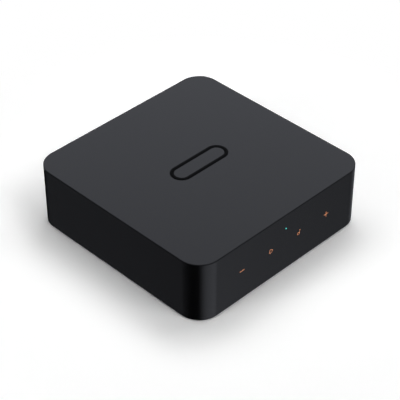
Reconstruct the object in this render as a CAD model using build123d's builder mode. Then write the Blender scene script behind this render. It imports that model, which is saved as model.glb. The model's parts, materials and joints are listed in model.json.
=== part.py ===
from build123d import *
import math
import os

# Network music streamer: a low square box with touch keys in front and its sockets behind.
# Millimetres. +Z is up and the floor is z = 0. The front faces -Y and the sockets face +Y.
# The origin is on the floor, under the middle of the square casing.

os.makedirs("parts", exist_ok=True)

# Casing
side = 140.0  # width and depth
height = 42.0  # floor to top face
corner_radius = 14.0  # plan corners
rim_round = 0.6  # top edge
skirt_bevel = 0.3  # lower edge
wall = 2.6
roof = 2.6
skirt = 1.4  # wall left outside the bottom cover
cover_thickness = 2.0
cover_gap = 0.15  # seam round the bottom cover
overrun = 1.0  # how far a cutter starts outside its face
fit = 0.03  # between pieces pressed together
slack = 0.15  # round pieces that drop into a pocket

# Foot ring
foot_proud = 0.5  # below the casing
foot_thickness = 1.6
foot_width = 5.0
foot_inset = 9.0  # cover edge to ring
foot_corner = 22.0
foot_edge = 0.3

# Screw towers and ribs
corner_tower_radius = 3.6
corner_tower_inset = 8.0  # inner wall to axis
board_tower_radius = 3.0
board_tower_margin = 4.5  # board edge to axis
rib_thickness = 1.2
rib_depth = 2.0
case_pilot_depth = 9.0
board_pilot_depth = 7.0

# Screws
case_screw_radius = 1.2
case_screw_head = 2.5
case_head_height = 1.1
case_seat_depth = 1.2
case_screw_length = 8.0
small_screw_radius = 0.85
small_screw_head = 1.7
small_head_height = 1.2
small_screw_length = 5.5
touch_screw_length = 3.6
driver_width = 0.5
driver_depth = 0.6
screw_clearance = 0.25  # round a head or shank

# Rear panel
panel_recess = 1.0  # casing face to panel face
flange_thickness = 1.6
flange_overlap = 1.5  # behind the window's left and right edges
flange_lip = 0.6  # behind its top and bottom edges
window_radius = 2.5
window_drop = 1.6  # window below the board's top
window_head = 2.0  # window above the upper barrels
row_margin = 1.4  # window edge to the first socket
panel_clearance = 0.2  # round each socket
panel_seat_depth = 1.2

# Main board and what is under it
board_lift = 2.5  # cover to board
board_thickness = 1.6
board_gap = 0.8  # board to corner towers
board_rear_gap = 0.3
board_corner = 1.5
front_space = 27.0  # front wall to board
weight_thickness = 1.5
weight_corner = 4.0
fence_thickness = 1.0  # locating rib round the weight
fence_height = 1.0
vent_length = 10.0
vent_width = 2.0
vent_pitch = 7.0
vent_count = 9
vent_margin = 3.0

# Phono sockets
barrel_radius = 4.15
barrel_root = 3.9  # behind the panel's face
barrel_bore = 3.4
barrel_reach = 8.6  # beyond the panel
barrel_seat = 2.0  # inside the moulded block
barrel_chamfer = 0.25
insulator_recess = 0.5
contact_radius = 2.1
contact_bore = 1.6
contact_recess = 0.8
contact_bore_depth = 7.0
phono_side = 0.55  # moulding beside a barrel
phono_foot = 1.3  # board to the lower barrel
phono_depth = 10.5
phono_web = 0.3  # panel between a barrel and a screw

# Optical sockets
optical_width = 9.8
optical_wall = 0.8
optical_floor = 1.0
optical_opening = 8.2  # height of the way in
optical_fold = 2.1  # room above it for the open shutter
optical_frame = 0.8  # depth of the front frame
optical_step = 0.2  # front frame inside the hollow
optical_key = 1.5  # bevelled lower corners
optical_end_gap = 0.4  # open shutter to the inner end
optical_back = 4.4
ferrule_radius = 1.3
optic_size = 4.6
optic_depth = 1.8
optic_lens = 0.9
optic_lens_length = 0.7
optic_lens_bevel = 0.35
shutter_thickness = 0.8
shutter_gap = 0.1
hinge_pin_radius = 0.4
hinge_running = 0.05
knuckle_wall = 0.4
spring_radius = 0.62
spring_wire = 0.11
spring_pitch = 0.32
spring_turns = 3
spring_sides = 6  # flats on the wire
spring_room = 0.35  # each side of the coil
spring_leg = 4.4
spring_tail = 1.3
spring_slot = 0.7

# Ethernet socket
ethernet_width = 15.9
ethernet_height = 13.4
ethernet_depth = 21.0
ethernet_sheet = 0.3
ethernet_set = 0.4  # moulding behind the sheet's edge
port_width = 11.8
port_height = 6.9
port_floor = 4.0  # board to the port
port_depth = 15.0
latch_width = 6.0
latch_height = 1.5
latch_slot_width = 3.2
latch_slot_height = 1.2
wire_pitch = 1.02
wire_count = 8
wire_size = 0.34
wire_bend = 0.25
wire_front = 1.6
wire_run = 8.0
wire_drop = 1.8
pipe_width = 2.6
pipe_height = 1.2
pipe_length = 4.0
pipe_margin = 0.4

# Trigger socket
trigger_width = 6.0
trigger_height = 6.2
trigger_depth = 12.0
trigger_collar = 2.8
trigger_proud = 0.3
trigger_bore = 1.8
trigger_bore_depth = 13.0
terminal_thickness = 0.3
terminal_length = 1.6
terminal_height = 2.6
terminal_pitch = 2.2
terminal_count = 3

# Power socket
usb_width = 8.94
usb_height = 3.26
usb_sheet = 0.31
usb_depth = 7.4
usb_back = 1.8
usb_tongue_width = 6.7
usb_tongue_thickness = 0.7
usb_tongue_set = 0.9  # mouth to tongue

# Touch keys and status light
key_pitch = 24.4
key_offset = 0.6  # middle of the casing to the middle of the keys
key_height = 22.0  # floor to the middle of the keys
key_count = 4
touch_gap = 1.5  # wall to touch board
touch_thickness = 1.2
touch_margin = 2.0  # board below the pads
touch_edge = 0.4
touch_corner = 1.0
touch_pad_radius = 4.0
touch_boss = 2.4
touch_pilot = 1.3  # pilot hole inside the wall
light_rise = 9.4  # keys to status light
light_radius = 0.5
light_collar = 0.8
lamp_size = 0.7
lamp_depth = 0.5
touch_chip_size = 4.0
touch_chip_height = 0.9
ribbon_width = 10.0
ribbon_thickness = 0.3
ribbon_bend = 5.0
ribbon_grip = 2.5
ribbon_socket_wall = 1.5
ribbon_socket_depth = 2.0
ribbon_socket_length = 4.0
ribbon_socket_edge = 0.6

# Radio module, its cooling and its aerials
radio_size = 34.0
radio_thickness = 1.0
radio_link_height = 3.0
radio_link_length = 20.0
radio_link_width = 3.0
radio_link_edge = 1.0
processor_size = 12.0
processor_height = 1.2
shield_inset = 4.0
shield_height = 2.0
shield_sheet = 0.25
pad_inset = 1.0
pad_thickness = 0.6
sink_base = 2.0
fin_height = 8.0
fin_thickness = 1.2
fin_count = 8
aerial_length = 32.0
aerial_height = 9.0
aerial_thickness = 0.8
aerial_middle = 24.0  # floor to aerial
aerial_socket_radius = 1.2
aerial_socket_height = 1.2
aerial_socket_edge = 0.4
lead_radius = 0.55
lead_sides = 8  # flats round the jacket
lead_start = 12.0  # straight from the aerial
lead_drop = 4.0

# Parts on the main board
can_radius = 3.6
can_height = 8.6
can_base = 7.6
can_base_height = 0.9
can_bevel = 0.4
coil_size = 7.0
coil_height = 3.6
coil_round = 0.8
converter_size = 7.0
converter_height = 0.9
amplifier_width = 4.9
amplifier_length = 3.9
amplifier_height = 1.5
regulator_size = 4.0
regulator_height = 1.0
crystal_length = 5.0
crystal_width = 3.2
crystal_height = 1.1

# Places on the board, as shares of half its width and of its depth from the front
radio_share = (0.0, 0.33)
can_shares = [(0.78, 0.62), (0.60, 0.62), (0.42, 0.62), (0.78, 0.50), (0.60, 0.50), (-0.62, 0.60)]
coil_shares = [(-0.80, 0.50), (-0.60, 0.46), (-0.80, 0.38)]
converter_shares = [(0.22, 0.62)]
amplifier_shares = [(0.42, 0.50), (0.56, 0.38), (0.74, 0.38)]
regulator_shares = [(-0.44, 0.60), (-0.44, 0.48), (0.50, 0.26)]
crystal_shares = [(0.06, 0.60), (-0.12, 0.60)]
arc_share = 0.45  # of the shorter run, for the arcs of the aerial leads

# Main levels and faces
half = side / 2
inside = half - wall
ceiling = height - roof
case_bottom = foot_proud
cover_top = case_bottom + cover_thickness
cover_half = half - skirt - cover_gap
tower_place = inside - corner_tower_inset
board_bottom = cover_top + board_lift
board_top = board_bottom + board_thickness
panel_face = half - panel_recess
panel_back = inside - flange_thickness
barrel_tip = panel_face + barrel_reach
barrel_end = panel_back - barrel_seat
board_half = tower_place - corner_tower_radius - board_gap
board_front = front_space - inside
board_back = panel_back - board_rear_gap
board_depth = board_back - board_front
board_tower_x = board_half - board_tower_margin
board_tower_front = board_front + board_tower_margin
board_tower_rear = panel_face - ethernet_depth - board_tower_margin
board_tower_places = [
    (x * board_tower_x, y) for x in (-1, 1) for y in (board_tower_front, board_tower_rear)
]
case_screw_places = [(x * tower_place, y * tower_place) for x in (-1, 1) for y in (-1, 1)]

# The barrels of a stack stand as far apart as the screw between them needs
screw_seat_radius = small_screw_head + screw_clearance
phono_low = board_top + phono_foot + barrel_radius
phono_pitch = 2 * (barrel_radius + panel_clearance + screw_seat_radius + phono_web)
phono_high = phono_low + phono_pitch
phono_screw_height = phono_low + phono_pitch / 2
phono_width = 2 * (barrel_radius + phono_side)

# The panel passes between the corner towers, and its window leaves a flange behind the wall
flange_half = board_half
window_half = flange_half - flange_overlap
row_half = window_half - row_margin
window_low = board_top - window_drop
window_high = phono_high + barrel_radius + window_head
window_middle = (window_low + window_high) / 2
window_height = window_high - window_low

# Sockets from +X to -X, spread over the window with equal gaps
row_widths = {
    "line_in": phono_width,
    "line_out": phono_width,
    "coax": phono_width,
    "optical_out": optical_width,
    "optical_in": optical_width,
    "ethernet": ethernet_width,
    "trigger": trigger_width,
    "usb": usb_width,
}
row_gap = (2 * row_half - sum(row_widths.values())) / (len(row_widths) - 1)
row_x = {}
row_edge = row_half
for socket, width in row_widths.items():
    row_x[socket] = row_edge - width / 2
    row_edge -= width + row_gap

line_in_axes = [(row_x["line_in"], phono_high), (row_x["line_in"], phono_low)]
line_out_axes = [(row_x["line_out"], phono_high), (row_x["line_out"], phono_low)]
coax_axes = [(row_x["coax"], phono_low)]
phono_axes = line_in_axes + line_out_axes + coax_axes
panel_screw_places = [(row_x[stack], phono_screw_height) for stack in ("line_in", "line_out")]
trigger_axis = (row_x["trigger"], board_top + trigger_height / 2)
usb_axis = (row_x["usb"], board_top + usb_height / 2)

# Optical socket: the shutter hangs from a pin above the way in and swings inwards
hollow_floor = board_top + optical_floor
hollow_width = optical_width - 2 * optical_wall
opening_low = hollow_floor + optical_step
opening_high = opening_low + optical_opening
hollow_top = opening_high + optical_fold
optical_top = hollow_top + optical_wall
knuckle_radius = hinge_pin_radius + hinge_running + knuckle_wall
hinge_y = panel_face - optical_frame - shutter_gap - knuckle_radius
hinge_z = hollow_top - shutter_gap - knuckle_radius
shutter_front = hinge_y + knuckle_radius
shutter_back = shutter_front - shutter_thickness
shutter_low = hollow_floor + shutter_gap
shutter_width = hollow_width - 2 * shutter_gap
hollow_end = hinge_y - (hinge_z - shutter_low) - optical_end_gap
optical_rear = hollow_end - optical_back
ferrule_height = (opening_low + opening_high) / 2
spring_width = spring_turns * spring_pitch + 2 * spring_wire

# The pressing leg leaves the coil at the angle at which its tip reaches the shutter's back
spring_tip = shutter_back - hinge_y - spring_wire - hinge_running
spring_lean = math.acos(-spring_tip / math.hypot(spring_radius, spring_leg)) - math.atan2(
    spring_leg, spring_radius
)

# Ethernet socket
port_low = board_top + port_floor
port_high = port_low + port_height
ethernet_top = board_top + ethernet_height
ethernet_mouth = panel_face - ethernet_set
ethernet_hollow = ethernet_width - 2 * ethernet_sheet
pipe_x = ethernet_hollow / 2 - pipe_margin - pipe_width / 2
pipe_z = ethernet_top - ethernet_sheet - pipe_margin - pipe_height / 2
pipe_places = [(row_x["ethernet"] + x, pipe_z) for x in (-pipe_x, pipe_x)]

# Touch board
touch_front = touch_gap - inside
touch_rear = touch_front + touch_thickness
key_places = [
    (key_offset + (n - (key_count - 1) / 2) * key_pitch, key_height) for n in range(key_count)
]
light_place = (key_offset, key_height + light_rise)
touch_low = key_height - touch_pad_radius - touch_margin
touch_high = key_height + light_rise + lamp_size / 2 + touch_edge
touch_boss_x = (key_count - 1) / 2 * key_pitch + touch_pad_radius + touch_edge + touch_boss
touch_half = touch_boss_x + touch_boss + touch_edge
touch_boss_places = [(key_offset + x, key_height) for x in (-touch_boss_x, touch_boss_x)]
ribbon_back = touch_rear + ribbon_socket_depth / 2
ribbon_level = board_top + ribbon_socket_depth / 2
ribbon_touch_socket = touch_low + ribbon_socket_edge
ribbon_board_socket = board_front + ribbon_socket_edge

# Foot ring, vents and weight, from the edge of the cover inwards
foot_outer = cover_half - foot_inset
foot_inner = foot_outer - foot_width
vent_x = foot_inner - vent_margin - vent_length / 2
weight_half = vent_x - vent_length / 2 - vent_margin
fence_inner = weight_half + slack
fence_outer = fence_inner + fence_thickness


def upright(y):
    """Sketch plane across the casing at depth y. Its x is X, its y is Z and it faces the front."""
    return Plane.XZ.offset(-y)


def on_board(shares):
    """Places on the main board for pairs of shares."""
    return [(x * board_half, board_front + y * board_depth) for x, y in shares]


def keep(piece, name):
    """Labels a finished piece and writes its file."""
    piece.part.label = name
    export_step(piece.part, f"parts/{name}.step")


def screws(seat, places, radius, length, head_radius, head_height):
    """Cross-head screws whose heads sit on the seat plane and whose shanks run along its normal."""
    with BuildPart() as group:
        with BuildSketch(seat):
            with Locations(*places):
                Circle(head_radius)
        extrude(amount=-head_height)
        with BuildSketch(seat):
            with Locations(*places):
                Circle(radius)
        extrude(amount=length)
        with BuildSketch(seat.offset(-head_height)):
            with Locations(*places):
                Rectangle(2 * radius, driver_width)
                Rectangle(driver_width, 2 * radius)
        extrude(amount=driver_depth, mode=Mode.SUBTRACT)
    return group


# Casing: top and four walls in one moulding, with screw towers hanging from the roof
with BuildPart() as top_housing:
    with BuildSketch(Plane.XY.offset(case_bottom)):
        RectangleRounded(side, side, corner_radius)
    extrude(amount=height - case_bottom)
    fillet(top_housing.faces().sort_by(Axis.Z)[-1].edges(), rim_round)
    chamfer(top_housing.faces().sort_by(Axis.Z)[0].edges(), skirt_bevel)
    with BuildSketch(Plane.XY.offset(ceiling)):
        RectangleRounded(2 * inside, 2 * inside, corner_radius - wall)
    extrude(amount=case_bottom - ceiling - overrun, mode=Mode.SUBTRACT)
    with BuildSketch(Plane.XY.offset(cover_top)):
        RectangleRounded(2 * (half - skirt), 2 * (half - skirt), corner_radius - skirt)
    extrude(amount=-cover_thickness - overrun, mode=Mode.SUBTRACT)
    # Corner towers, each tied to its side wall
    with BuildSketch(Plane.XY.offset(cover_top)):
        with Locations(*case_screw_places):
            Circle(corner_tower_radius)
        for x, y in case_screw_places:
            with Locations((math.copysign(tower_place + inside, x) / 2, y)):
                Rectangle(inside - tower_place, rib_thickness)
    extrude(amount=ceiling - cover_top)
    with BuildSketch(Plane.XY.offset(cover_top)):
        with Locations(*case_screw_places):
            Circle(case_screw_radius + fit)
    extrude(amount=case_pilot_depth, mode=Mode.SUBTRACT)
    # Board towers, tied by ribs under the roof
    with BuildSketch(Plane.XY.offset(board_top)):
        with Locations(*board_tower_places):
            Circle(board_tower_radius)
    extrude(amount=ceiling - board_top)
    with BuildSketch(Plane.XY.offset(ceiling)):
        with Locations((0, board_tower_front), (0, board_tower_rear)):
            Rectangle(2 * board_tower_x, rib_thickness)
        for x in (-board_tower_x, board_tower_x):
            with Locations((x, (board_tower_front + board_tower_rear) / 2)):
                Rectangle(rib_thickness, board_tower_rear - board_tower_front)
    extrude(amount=-rib_depth)
    with BuildSketch(Plane.XY.offset(board_top)):
        with Locations(*board_tower_places):
            Circle(small_screw_radius + fit)
    extrude(amount=board_pilot_depth, mode=Mode.SUBTRACT)
    # Bosses for the touch board and the hole for the status light
    with BuildSketch(upright(touch_front)):
        with Locations(*touch_boss_places):
            Circle(touch_boss)
    extrude(amount=touch_gap)
    with BuildSketch(upright(touch_front)):
        with Locations(*touch_boss_places):
            Circle(small_screw_radius + fit)
    extrude(amount=touch_gap + touch_pilot, mode=Mode.SUBTRACT)
    with BuildSketch(upright(overrun - inside)):
        with Locations(light_place):
            Circle(light_radius + fit)
    extrude(amount=wall + 2 * overrun, mode=Mode.SUBTRACT)
    # Window for the rear panel
    with BuildSketch(upright(half + overrun)):
        with Locations((0, window_middle)):
            RectangleRounded(2 * window_half, window_height, window_radius)
    extrude(amount=wall + 2 * overrun, mode=Mode.SUBTRACT)
keep(top_housing, "top_housing")

# Bottom cover: a plate in the skirt, with two columns of vents and a groove for the foot ring
with BuildPart() as bottom_cover:
    with BuildSketch(Plane.XY.offset(case_bottom)):
        RectangleRounded(2 * cover_half, 2 * cover_half, corner_radius - skirt - cover_gap)
        with GridLocations(2 * vent_x, vent_pitch, 2, vent_count):
            SlotOverall(vent_length, vent_width, mode=Mode.SUBTRACT)
        with Locations(*case_screw_places):
            Circle(case_screw_radius + screw_clearance, mode=Mode.SUBTRACT)
    extrude(amount=cover_thickness)
    with BuildSketch(Plane.XY.offset(case_bottom)):
        with Locations(*case_screw_places):
            Circle(case_screw_head + screw_clearance)
    extrude(amount=case_seat_depth, mode=Mode.SUBTRACT)
    with BuildSketch(Plane.XY.offset(case_bottom)):
        RectangleRounded(2 * (foot_outer + slack), 2 * (foot_outer + slack), foot_corner + slack)
        RectangleRounded(
            2 * (foot_inner - slack),
            2 * (foot_inner - slack),
            foot_corner - foot_width - slack,
            mode=Mode.SUBTRACT,
        )
    extrude(amount=foot_thickness - foot_proud, mode=Mode.SUBTRACT)
    with BuildSketch(Plane.XY.offset(cover_top)):
        RectangleRounded(2 * fence_outer, 2 * fence_outer, weight_corner + fence_thickness)
        RectangleRounded(2 * fence_inner, 2 * fence_inner, weight_corner, mode=Mode.SUBTRACT)
    extrude(amount=fence_height)
keep(bottom_cover, "bottom_cover")

# Rubber foot in one ring
with BuildPart() as foot_ring:
    with BuildSketch(Plane.XY):
        RectangleRounded(2 * foot_outer, 2 * foot_outer, foot_corner)
        RectangleRounded(2 * foot_inner, 2 * foot_inner, foot_corner - foot_width, mode=Mode.SUBTRACT)
    extrude(amount=foot_thickness)
    chamfer(foot_ring.faces().sort_by(Axis.Z)[0].edges(), foot_edge)
keep(foot_ring, "foot_ring")

# Steel weight that keeps the light casing from sliding
with BuildPart() as weight_plate:
    with BuildSketch(Plane.XY.offset(cover_top)):
        RectangleRounded(2 * weight_half, 2 * weight_half, weight_corner)
    extrude(amount=weight_thickness)
keep(weight_plate, "weight_plate")

housing_screws = screws(
    Plane.XY.offset(case_bottom + case_seat_depth),
    case_screw_places,
    case_screw_radius,
    case_screw_length,
    case_screw_head,
    case_head_height,
)
keep(housing_screws, "housing_screws")

# Main board, held up against the four board towers
with BuildPart() as main_board:
    with BuildSketch(Plane.XY.offset(board_bottom)):
        with Locations((0, (board_front + board_back) / 2)):
            RectangleRounded(2 * board_half, board_depth, board_corner)
        with Locations(*board_tower_places):
            Circle(small_screw_radius + screw_clearance, mode=Mode.SUBTRACT)
    extrude(amount=board_thickness)
keep(main_board, "main_board")

board_screws = screws(
    Plane.XY.offset(board_bottom),
    board_tower_places,
    small_screw_radius,
    small_screw_length,
    small_screw_head,
    small_head_height,
)
keep(board_screws, "board_screws")

# Rear panel: a land in the window on a flange behind the wall, cut out for every socket
with BuildPart() as rear_panel:
    with BuildSketch(upright(panel_face)):
        with Locations((0, window_middle)):
            RectangleRounded(
                2 * (window_half - slack), window_height - 2 * slack, window_radius - slack
            )
    extrude(amount=panel_face - inside)
    with BuildSketch(upright(inside)):
        with Locations((0, window_middle)):
            RectangleRounded(2 * flange_half, window_height + 2 * flange_lip, window_radius)
    extrude(amount=flange_thickness)
    with BuildSketch(upright(panel_face + overrun)):
        with Locations(*phono_axes):
            Circle(barrel_radius + panel_clearance)
        with Locations(*panel_screw_places):
            Circle(small_screw_radius + screw_clearance)
        for socket in ("optical_out", "optical_in"):
            with Locations((row_x[socket], (board_top + optical_top) / 2)):
                Rectangle(
                    optical_width + 2 * panel_clearance,
                    optical_top - board_top + 2 * panel_clearance,
                )
        with Locations((row_x["ethernet"], board_top + ethernet_height / 2)):
            Rectangle(ethernet_width + 2 * panel_clearance, ethernet_height + 2 * panel_clearance)
        with Locations(trigger_axis):
            Circle(trigger_collar + panel_clearance)
        with Locations(usb_axis):
            SlotOverall(usb_width + 2 * panel_clearance, usb_height + 2 * panel_clearance)
    extrude(amount=panel_face - panel_back + 2 * overrun, mode=Mode.SUBTRACT)
    with BuildSketch(upright(panel_face)):
        with Locations(*panel_screw_places):
            Circle(screw_seat_radius)
    extrude(amount=panel_seat_depth, mode=Mode.SUBTRACT)
keep(rear_panel, "rear_panel")

panel_screws = screws(
    upright(panel_face - panel_seat_depth),
    panel_screw_places,
    small_screw_radius,
    small_screw_length,
    small_screw_head,
    small_head_height,
)
keep(panel_screws, "panel_screws")


def phono_block(axes, pilots):
    """Moulded block behind the panel, with a seat for each barrel and a pilot hole for its screw."""
    block_top = axes[0][1] + barrel_radius + phono_side
    with BuildPart() as block:
        with BuildSketch(upright(panel_back)):
            with Locations((axes[0][0], (board_top + block_top) / 2)):
                Rectangle(phono_width, block_top - board_top)
        extrude(amount=phono_depth)
        fillet(block.edges().filter_by(Axis.Y).group_by(Axis.Z)[-1], phono_side)
        with BuildSketch(upright(panel_back)):
            with Locations(*axes):
                Circle(barrel_root + fit)
        extrude(amount=barrel_seat, mode=Mode.SUBTRACT)
        if pilots:
            with BuildSketch(upright(panel_back)):
                with Locations(*pilots):
                    Circle(small_screw_radius + fit)
            extrude(amount=small_screw_length, mode=Mode.SUBTRACT)
    return block


def barrels(axes):
    """Outer contacts: metal tubes that stand out of the panel."""
    with BuildPart() as tubes:
        with BuildSketch(upright(barrel_end)):
            with Locations(*axes):
                Circle(barrel_root)
        extrude(amount=barrel_end - panel_face)
        with BuildSketch(upright(panel_face)):
            with Locations(*axes):
                Circle(barrel_radius)
        extrude(amount=-barrel_reach)
        with BuildSketch(upright(barrel_end)):
            with Locations(*axes):
                Circle(barrel_bore)
        extrude(amount=barrel_end - barrel_tip, mode=Mode.SUBTRACT)
        chamfer(tubes.faces().group_by(Axis.Y)[-1].edges(), barrel_chamfer)
    return tubes


def insulators(axes):
    """Coloured rings between the outer and the centre contacts."""
    with BuildPart() as rings:
        with BuildSketch(upright(barrel_end)):
            with Locations(*axes):
                Circle(barrel_bore - fit)
                Circle(contact_radius + fit, mode=Mode.SUBTRACT)
        extrude(amount=barrel_end - barrel_tip + insulator_recess)
    return rings


keep(phono_block(line_in_axes, panel_screw_places[:1]), "line_in_block")
keep(phono_block(line_out_axes, panel_screw_places[1:]), "line_out_block")
keep(phono_block(coax_axes, []), "coax_block")
keep(barrels(line_in_axes), "line_in_barrels")
keep(barrels(line_out_axes), "line_out_barrels")
keep(barrels(coax_axes), "coax_barrel")
keep(insulators([line_in_axes[0], line_out_axes[0]]), "left_insulators")
keep(insulators([line_in_axes[1], line_out_axes[1]]), "right_insulators")
keep(insulators(coax_axes), "coax_insulator")

# Centre contacts: sockets for the plugs' pins
with BuildPart() as phono_contacts:
    with BuildSketch(upright(barrel_end)):
        with Locations(*phono_axes):
            Circle(contact_radius)
    extrude(amount=barrel_end - barrel_tip + contact_recess)
    with BuildSketch(upright(barrel_tip)):
        with Locations(*phono_axes):
            Circle(contact_bore)
    extrude(amount=contact_recess + contact_bore_depth, mode=Mode.SUBTRACT)
keep(phono_contacts, "phono_contacts")


def keyed_outline(plane, x, width, low, high):
    """Outline of an optical socket: a rectangle with its two lower corners bevelled."""
    with BuildSketch(plane) as outline:
        with Locations((x, (low + high) / 2)):
            Rectangle(width, high - low)
        chamfer(outline.vertices().group_by(Axis.Y)[0], optical_key)
    return outline.sketch


def optical_body(x):
    """Moulded optical socket, hollow behind its front frame, with a bore for the plug's ferrule."""
    with BuildPart() as body:
        with BuildSketch(upright(panel_face)):
            with Locations((x, (board_top + optical_top) / 2)):
                Rectangle(optical_width, optical_top - board_top)
        extrude(amount=panel_face - optical_rear)
        frame_back = panel_face - optical_frame
        hollow = keyed_outline(upright(frame_back), x, hollow_width, hollow_floor, hollow_top)
        extrude(hollow, amount=frame_back - hollow_end, mode=Mode.SUBTRACT)
        way_in = keyed_outline(
            upright(frame_back), x, hollow_width - 2 * optical_step, opening_low, opening_high
        )
        extrude(way_in, amount=-optical_frame - overrun, mode=Mode.SUBTRACT)
        with BuildSketch(upright(hollow_end)):
            with Locations((x, ferrule_height)):
                Circle(ferrule_radius)
        extrude(amount=optical_back, mode=Mode.SUBTRACT)
        with BuildSketch(upright(optical_rear)):
            with Locations((x, ferrule_height)):
                Rectangle(optic_size + 2 * fit, optic_size + 2 * fit)
        extrude(amount=-optic_depth, mode=Mode.SUBTRACT)
        with BuildSketch(Plane.YZ.offset(x - optical_width)):
            with Locations((hinge_y, hinge_z)):
                Circle(hinge_pin_radius + fit)
        extrude(amount=2 * optical_width, mode=Mode.SUBTRACT)
        with BuildSketch(Plane.XY.offset(hollow_top)):
            with Locations((x - spring_width / 2, hinge_y - spring_radius)):
                Rectangle(spring_slot, spring_slot)
        extrude(amount=2 * optical_wall, both=True, mode=Mode.SUBTRACT)
    return body


def optical_shutter(x):
    """Flap that hangs from the pin on a knuckle, with a notch for the coil of its spring."""
    notch_reach = spring_radius + spring_wire + hinge_running
    notch_half = spring_width / 2 + spring_room
    with BuildPart() as flap:
        plate = keyed_outline(upright(shutter_front), x, shutter_width, shutter_low, hinge_z)
        extrude(plate, amount=shutter_thickness)
        with BuildSketch(Plane.YZ.offset(x - shutter_width / 2)):
            with Locations((hinge_y, hinge_z)):
                Circle(knuckle_radius)
        extrude(amount=shutter_width)
        with BuildSketch(Plane.YZ.offset(x - shutter_width / 2)):
            with Locations((hinge_y, hinge_z)):
                Circle(hinge_pin_radius + hinge_running)
        extrude(amount=shutter_width, mode=Mode.SUBTRACT)
        with BuildSketch(Plane.YZ.offset(x - notch_half)):
            with Locations((hinge_y, hinge_z - notch_reach)):
                Rectangle(
                    2 * (knuckle_radius + overrun),
                    2 * (knuckle_radius + overrun),
                    align=(Align.CENTER, Align.MIN),
                )
        extrude(amount=2 * notch_half, mode=Mode.SUBTRACT)
    return flap


def shutter_spring(x):
    """Torsion spring round the pin: a tail in the roof, a coil, and a leg down the shutter's back."""
    turns = spring_turns + spring_lean / math.tau
    with BuildLine(mode=Mode.PRIVATE) as wire:
        coil = Helix(spring_pitch, spring_pitch * turns, spring_radius)
        Line(coil @ 0 - (coil % 0) * spring_tail, coil @ 0)
        Line(coil @ 1, coil @ 1 + (coil % 1) * spring_leg)
    start = Plane(
        origin=(x - spring_turns * spring_pitch / 2, hinge_y, hinge_z),
        x_dir=(0, -1, 0),
        z_dir=(1, 0, 0),
    )
    path = start * wire.wire()
    with BuildPart() as spring:
        with BuildSketch(Plane(origin=path @ 0, z_dir=path % 0)):
            RegularPolygon(spring_wire, spring_sides)
        sweep(path=path)
    return spring


def optical_module(x):
    """Light source or sensor in the back of the socket, with its lens in the ferrule's bore."""
    with BuildPart() as module:
        with BuildSketch(upright(optical_rear)):
            with Locations((x, ferrule_height)):
                Rectangle(optic_size, optic_size)
        extrude(amount=-optic_depth)
        with BuildSketch(upright(optical_rear + optic_depth)):
            with Locations((x, ferrule_height)):
                Circle(optic_lens)
        extrude(amount=-optic_lens_length)
        chamfer(module.faces().sort_by(Axis.Y)[-1].edges(), optic_lens_bevel)
    return module


for socket in ("optical_out", "optical_in"):
    keep(optical_body(row_x[socket]), f"{socket}_body")
    keep(optical_shutter(row_x[socket]), f"{socket}_shutter")
    keep(shutter_spring(row_x[socket]), f"{socket}_spring")
    keep(optical_module(row_x[socket]), f"{socket}_module")

# Hinge pins of the two shutters
with BuildPart() as shutter_pins:
    for socket in ("optical_out", "optical_in"):
        with BuildSketch(Plane.YZ.offset(row_x[socket] - optical_width / 2)):
            with Locations((hinge_y, hinge_z)):
                Circle(hinge_pin_radius)
        extrude(amount=optical_width)
keep(shutter_pins, "shutter_pins")

# Ethernet socket: sheet-metal shield round a moulding
with BuildPart() as ethernet_shield:
    with BuildSketch(upright(panel_face)):
        with Locations((row_x["ethernet"], board_top + ethernet_height / 2)):
            Rectangle(ethernet_width, ethernet_height)
            Rectangle(ethernet_hollow, ethernet_height - 2 * ethernet_sheet, mode=Mode.SUBTRACT)
    extrude(amount=ethernet_depth)
keep(ethernet_shield, "ethernet_shield")

with BuildPart() as ethernet_insert:
    with BuildSketch(upright(ethernet_mouth)):
        with Locations((row_x["ethernet"], board_top + ethernet_height / 2)):
            Rectangle(ethernet_hollow - 2 * fit, ethernet_height - 2 * (ethernet_sheet + fit))
    extrude(amount=ethernet_depth - ethernet_set)
    with BuildSketch(upright(ethernet_mouth)):
        with Locations((row_x["ethernet"], (port_low + port_high) / 2)):
            Rectangle(port_width, port_height)
        with Locations((row_x["ethernet"], port_low - latch_height / 2)):
            Rectangle(latch_width, latch_height)
        with Locations((row_x["ethernet"], port_low - latch_height - latch_slot_height / 2)):
            Rectangle(latch_slot_width, latch_slot_height)
    extrude(amount=port_depth, mode=Mode.SUBTRACT)
    with BuildSketch(upright(ethernet_mouth)):
        with Locations(*pipe_places):
            Rectangle(pipe_width + 2 * fit, pipe_height + 2 * fit)
    extrude(amount=pipe_length, mode=Mode.SUBTRACT)
keep(ethernet_insert, "ethernet_insert")

with BuildPart() as ethernet_light_pipes:
    with BuildSketch(upright(ethernet_mouth)):
        with Locations(*pipe_places):
            Rectangle(pipe_width, pipe_height)
    extrude(amount=pipe_length)
keep(ethernet_light_pipes, "ethernet_light_pipes")

# Spring contacts: each runs forwards under the port's roof, turns, and slopes back down
with BuildPart() as ethernet_contacts:
    wire_high = port_high - wire_size / 2
    wire_turn = ethernet_mouth - wire_front
    for n in range(wire_count):
        wire_x = row_x["ethernet"] + (n - (wire_count - 1) / 2) * wire_pitch
        with BuildSketch(Plane.YZ.offset(wire_x)):
            with BuildLine():
                FilletPolyline(
                    (ethernet_mouth - port_depth, wire_high),
                    (wire_turn, wire_high),
                    (wire_turn - wire_run, wire_high - wire_drop),
                    radius=wire_bend,
                )
            trace(line_width=wire_size)
        extrude(amount=wire_size / 2, both=True)
keep(ethernet_contacts, "ethernet_contacts")

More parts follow.
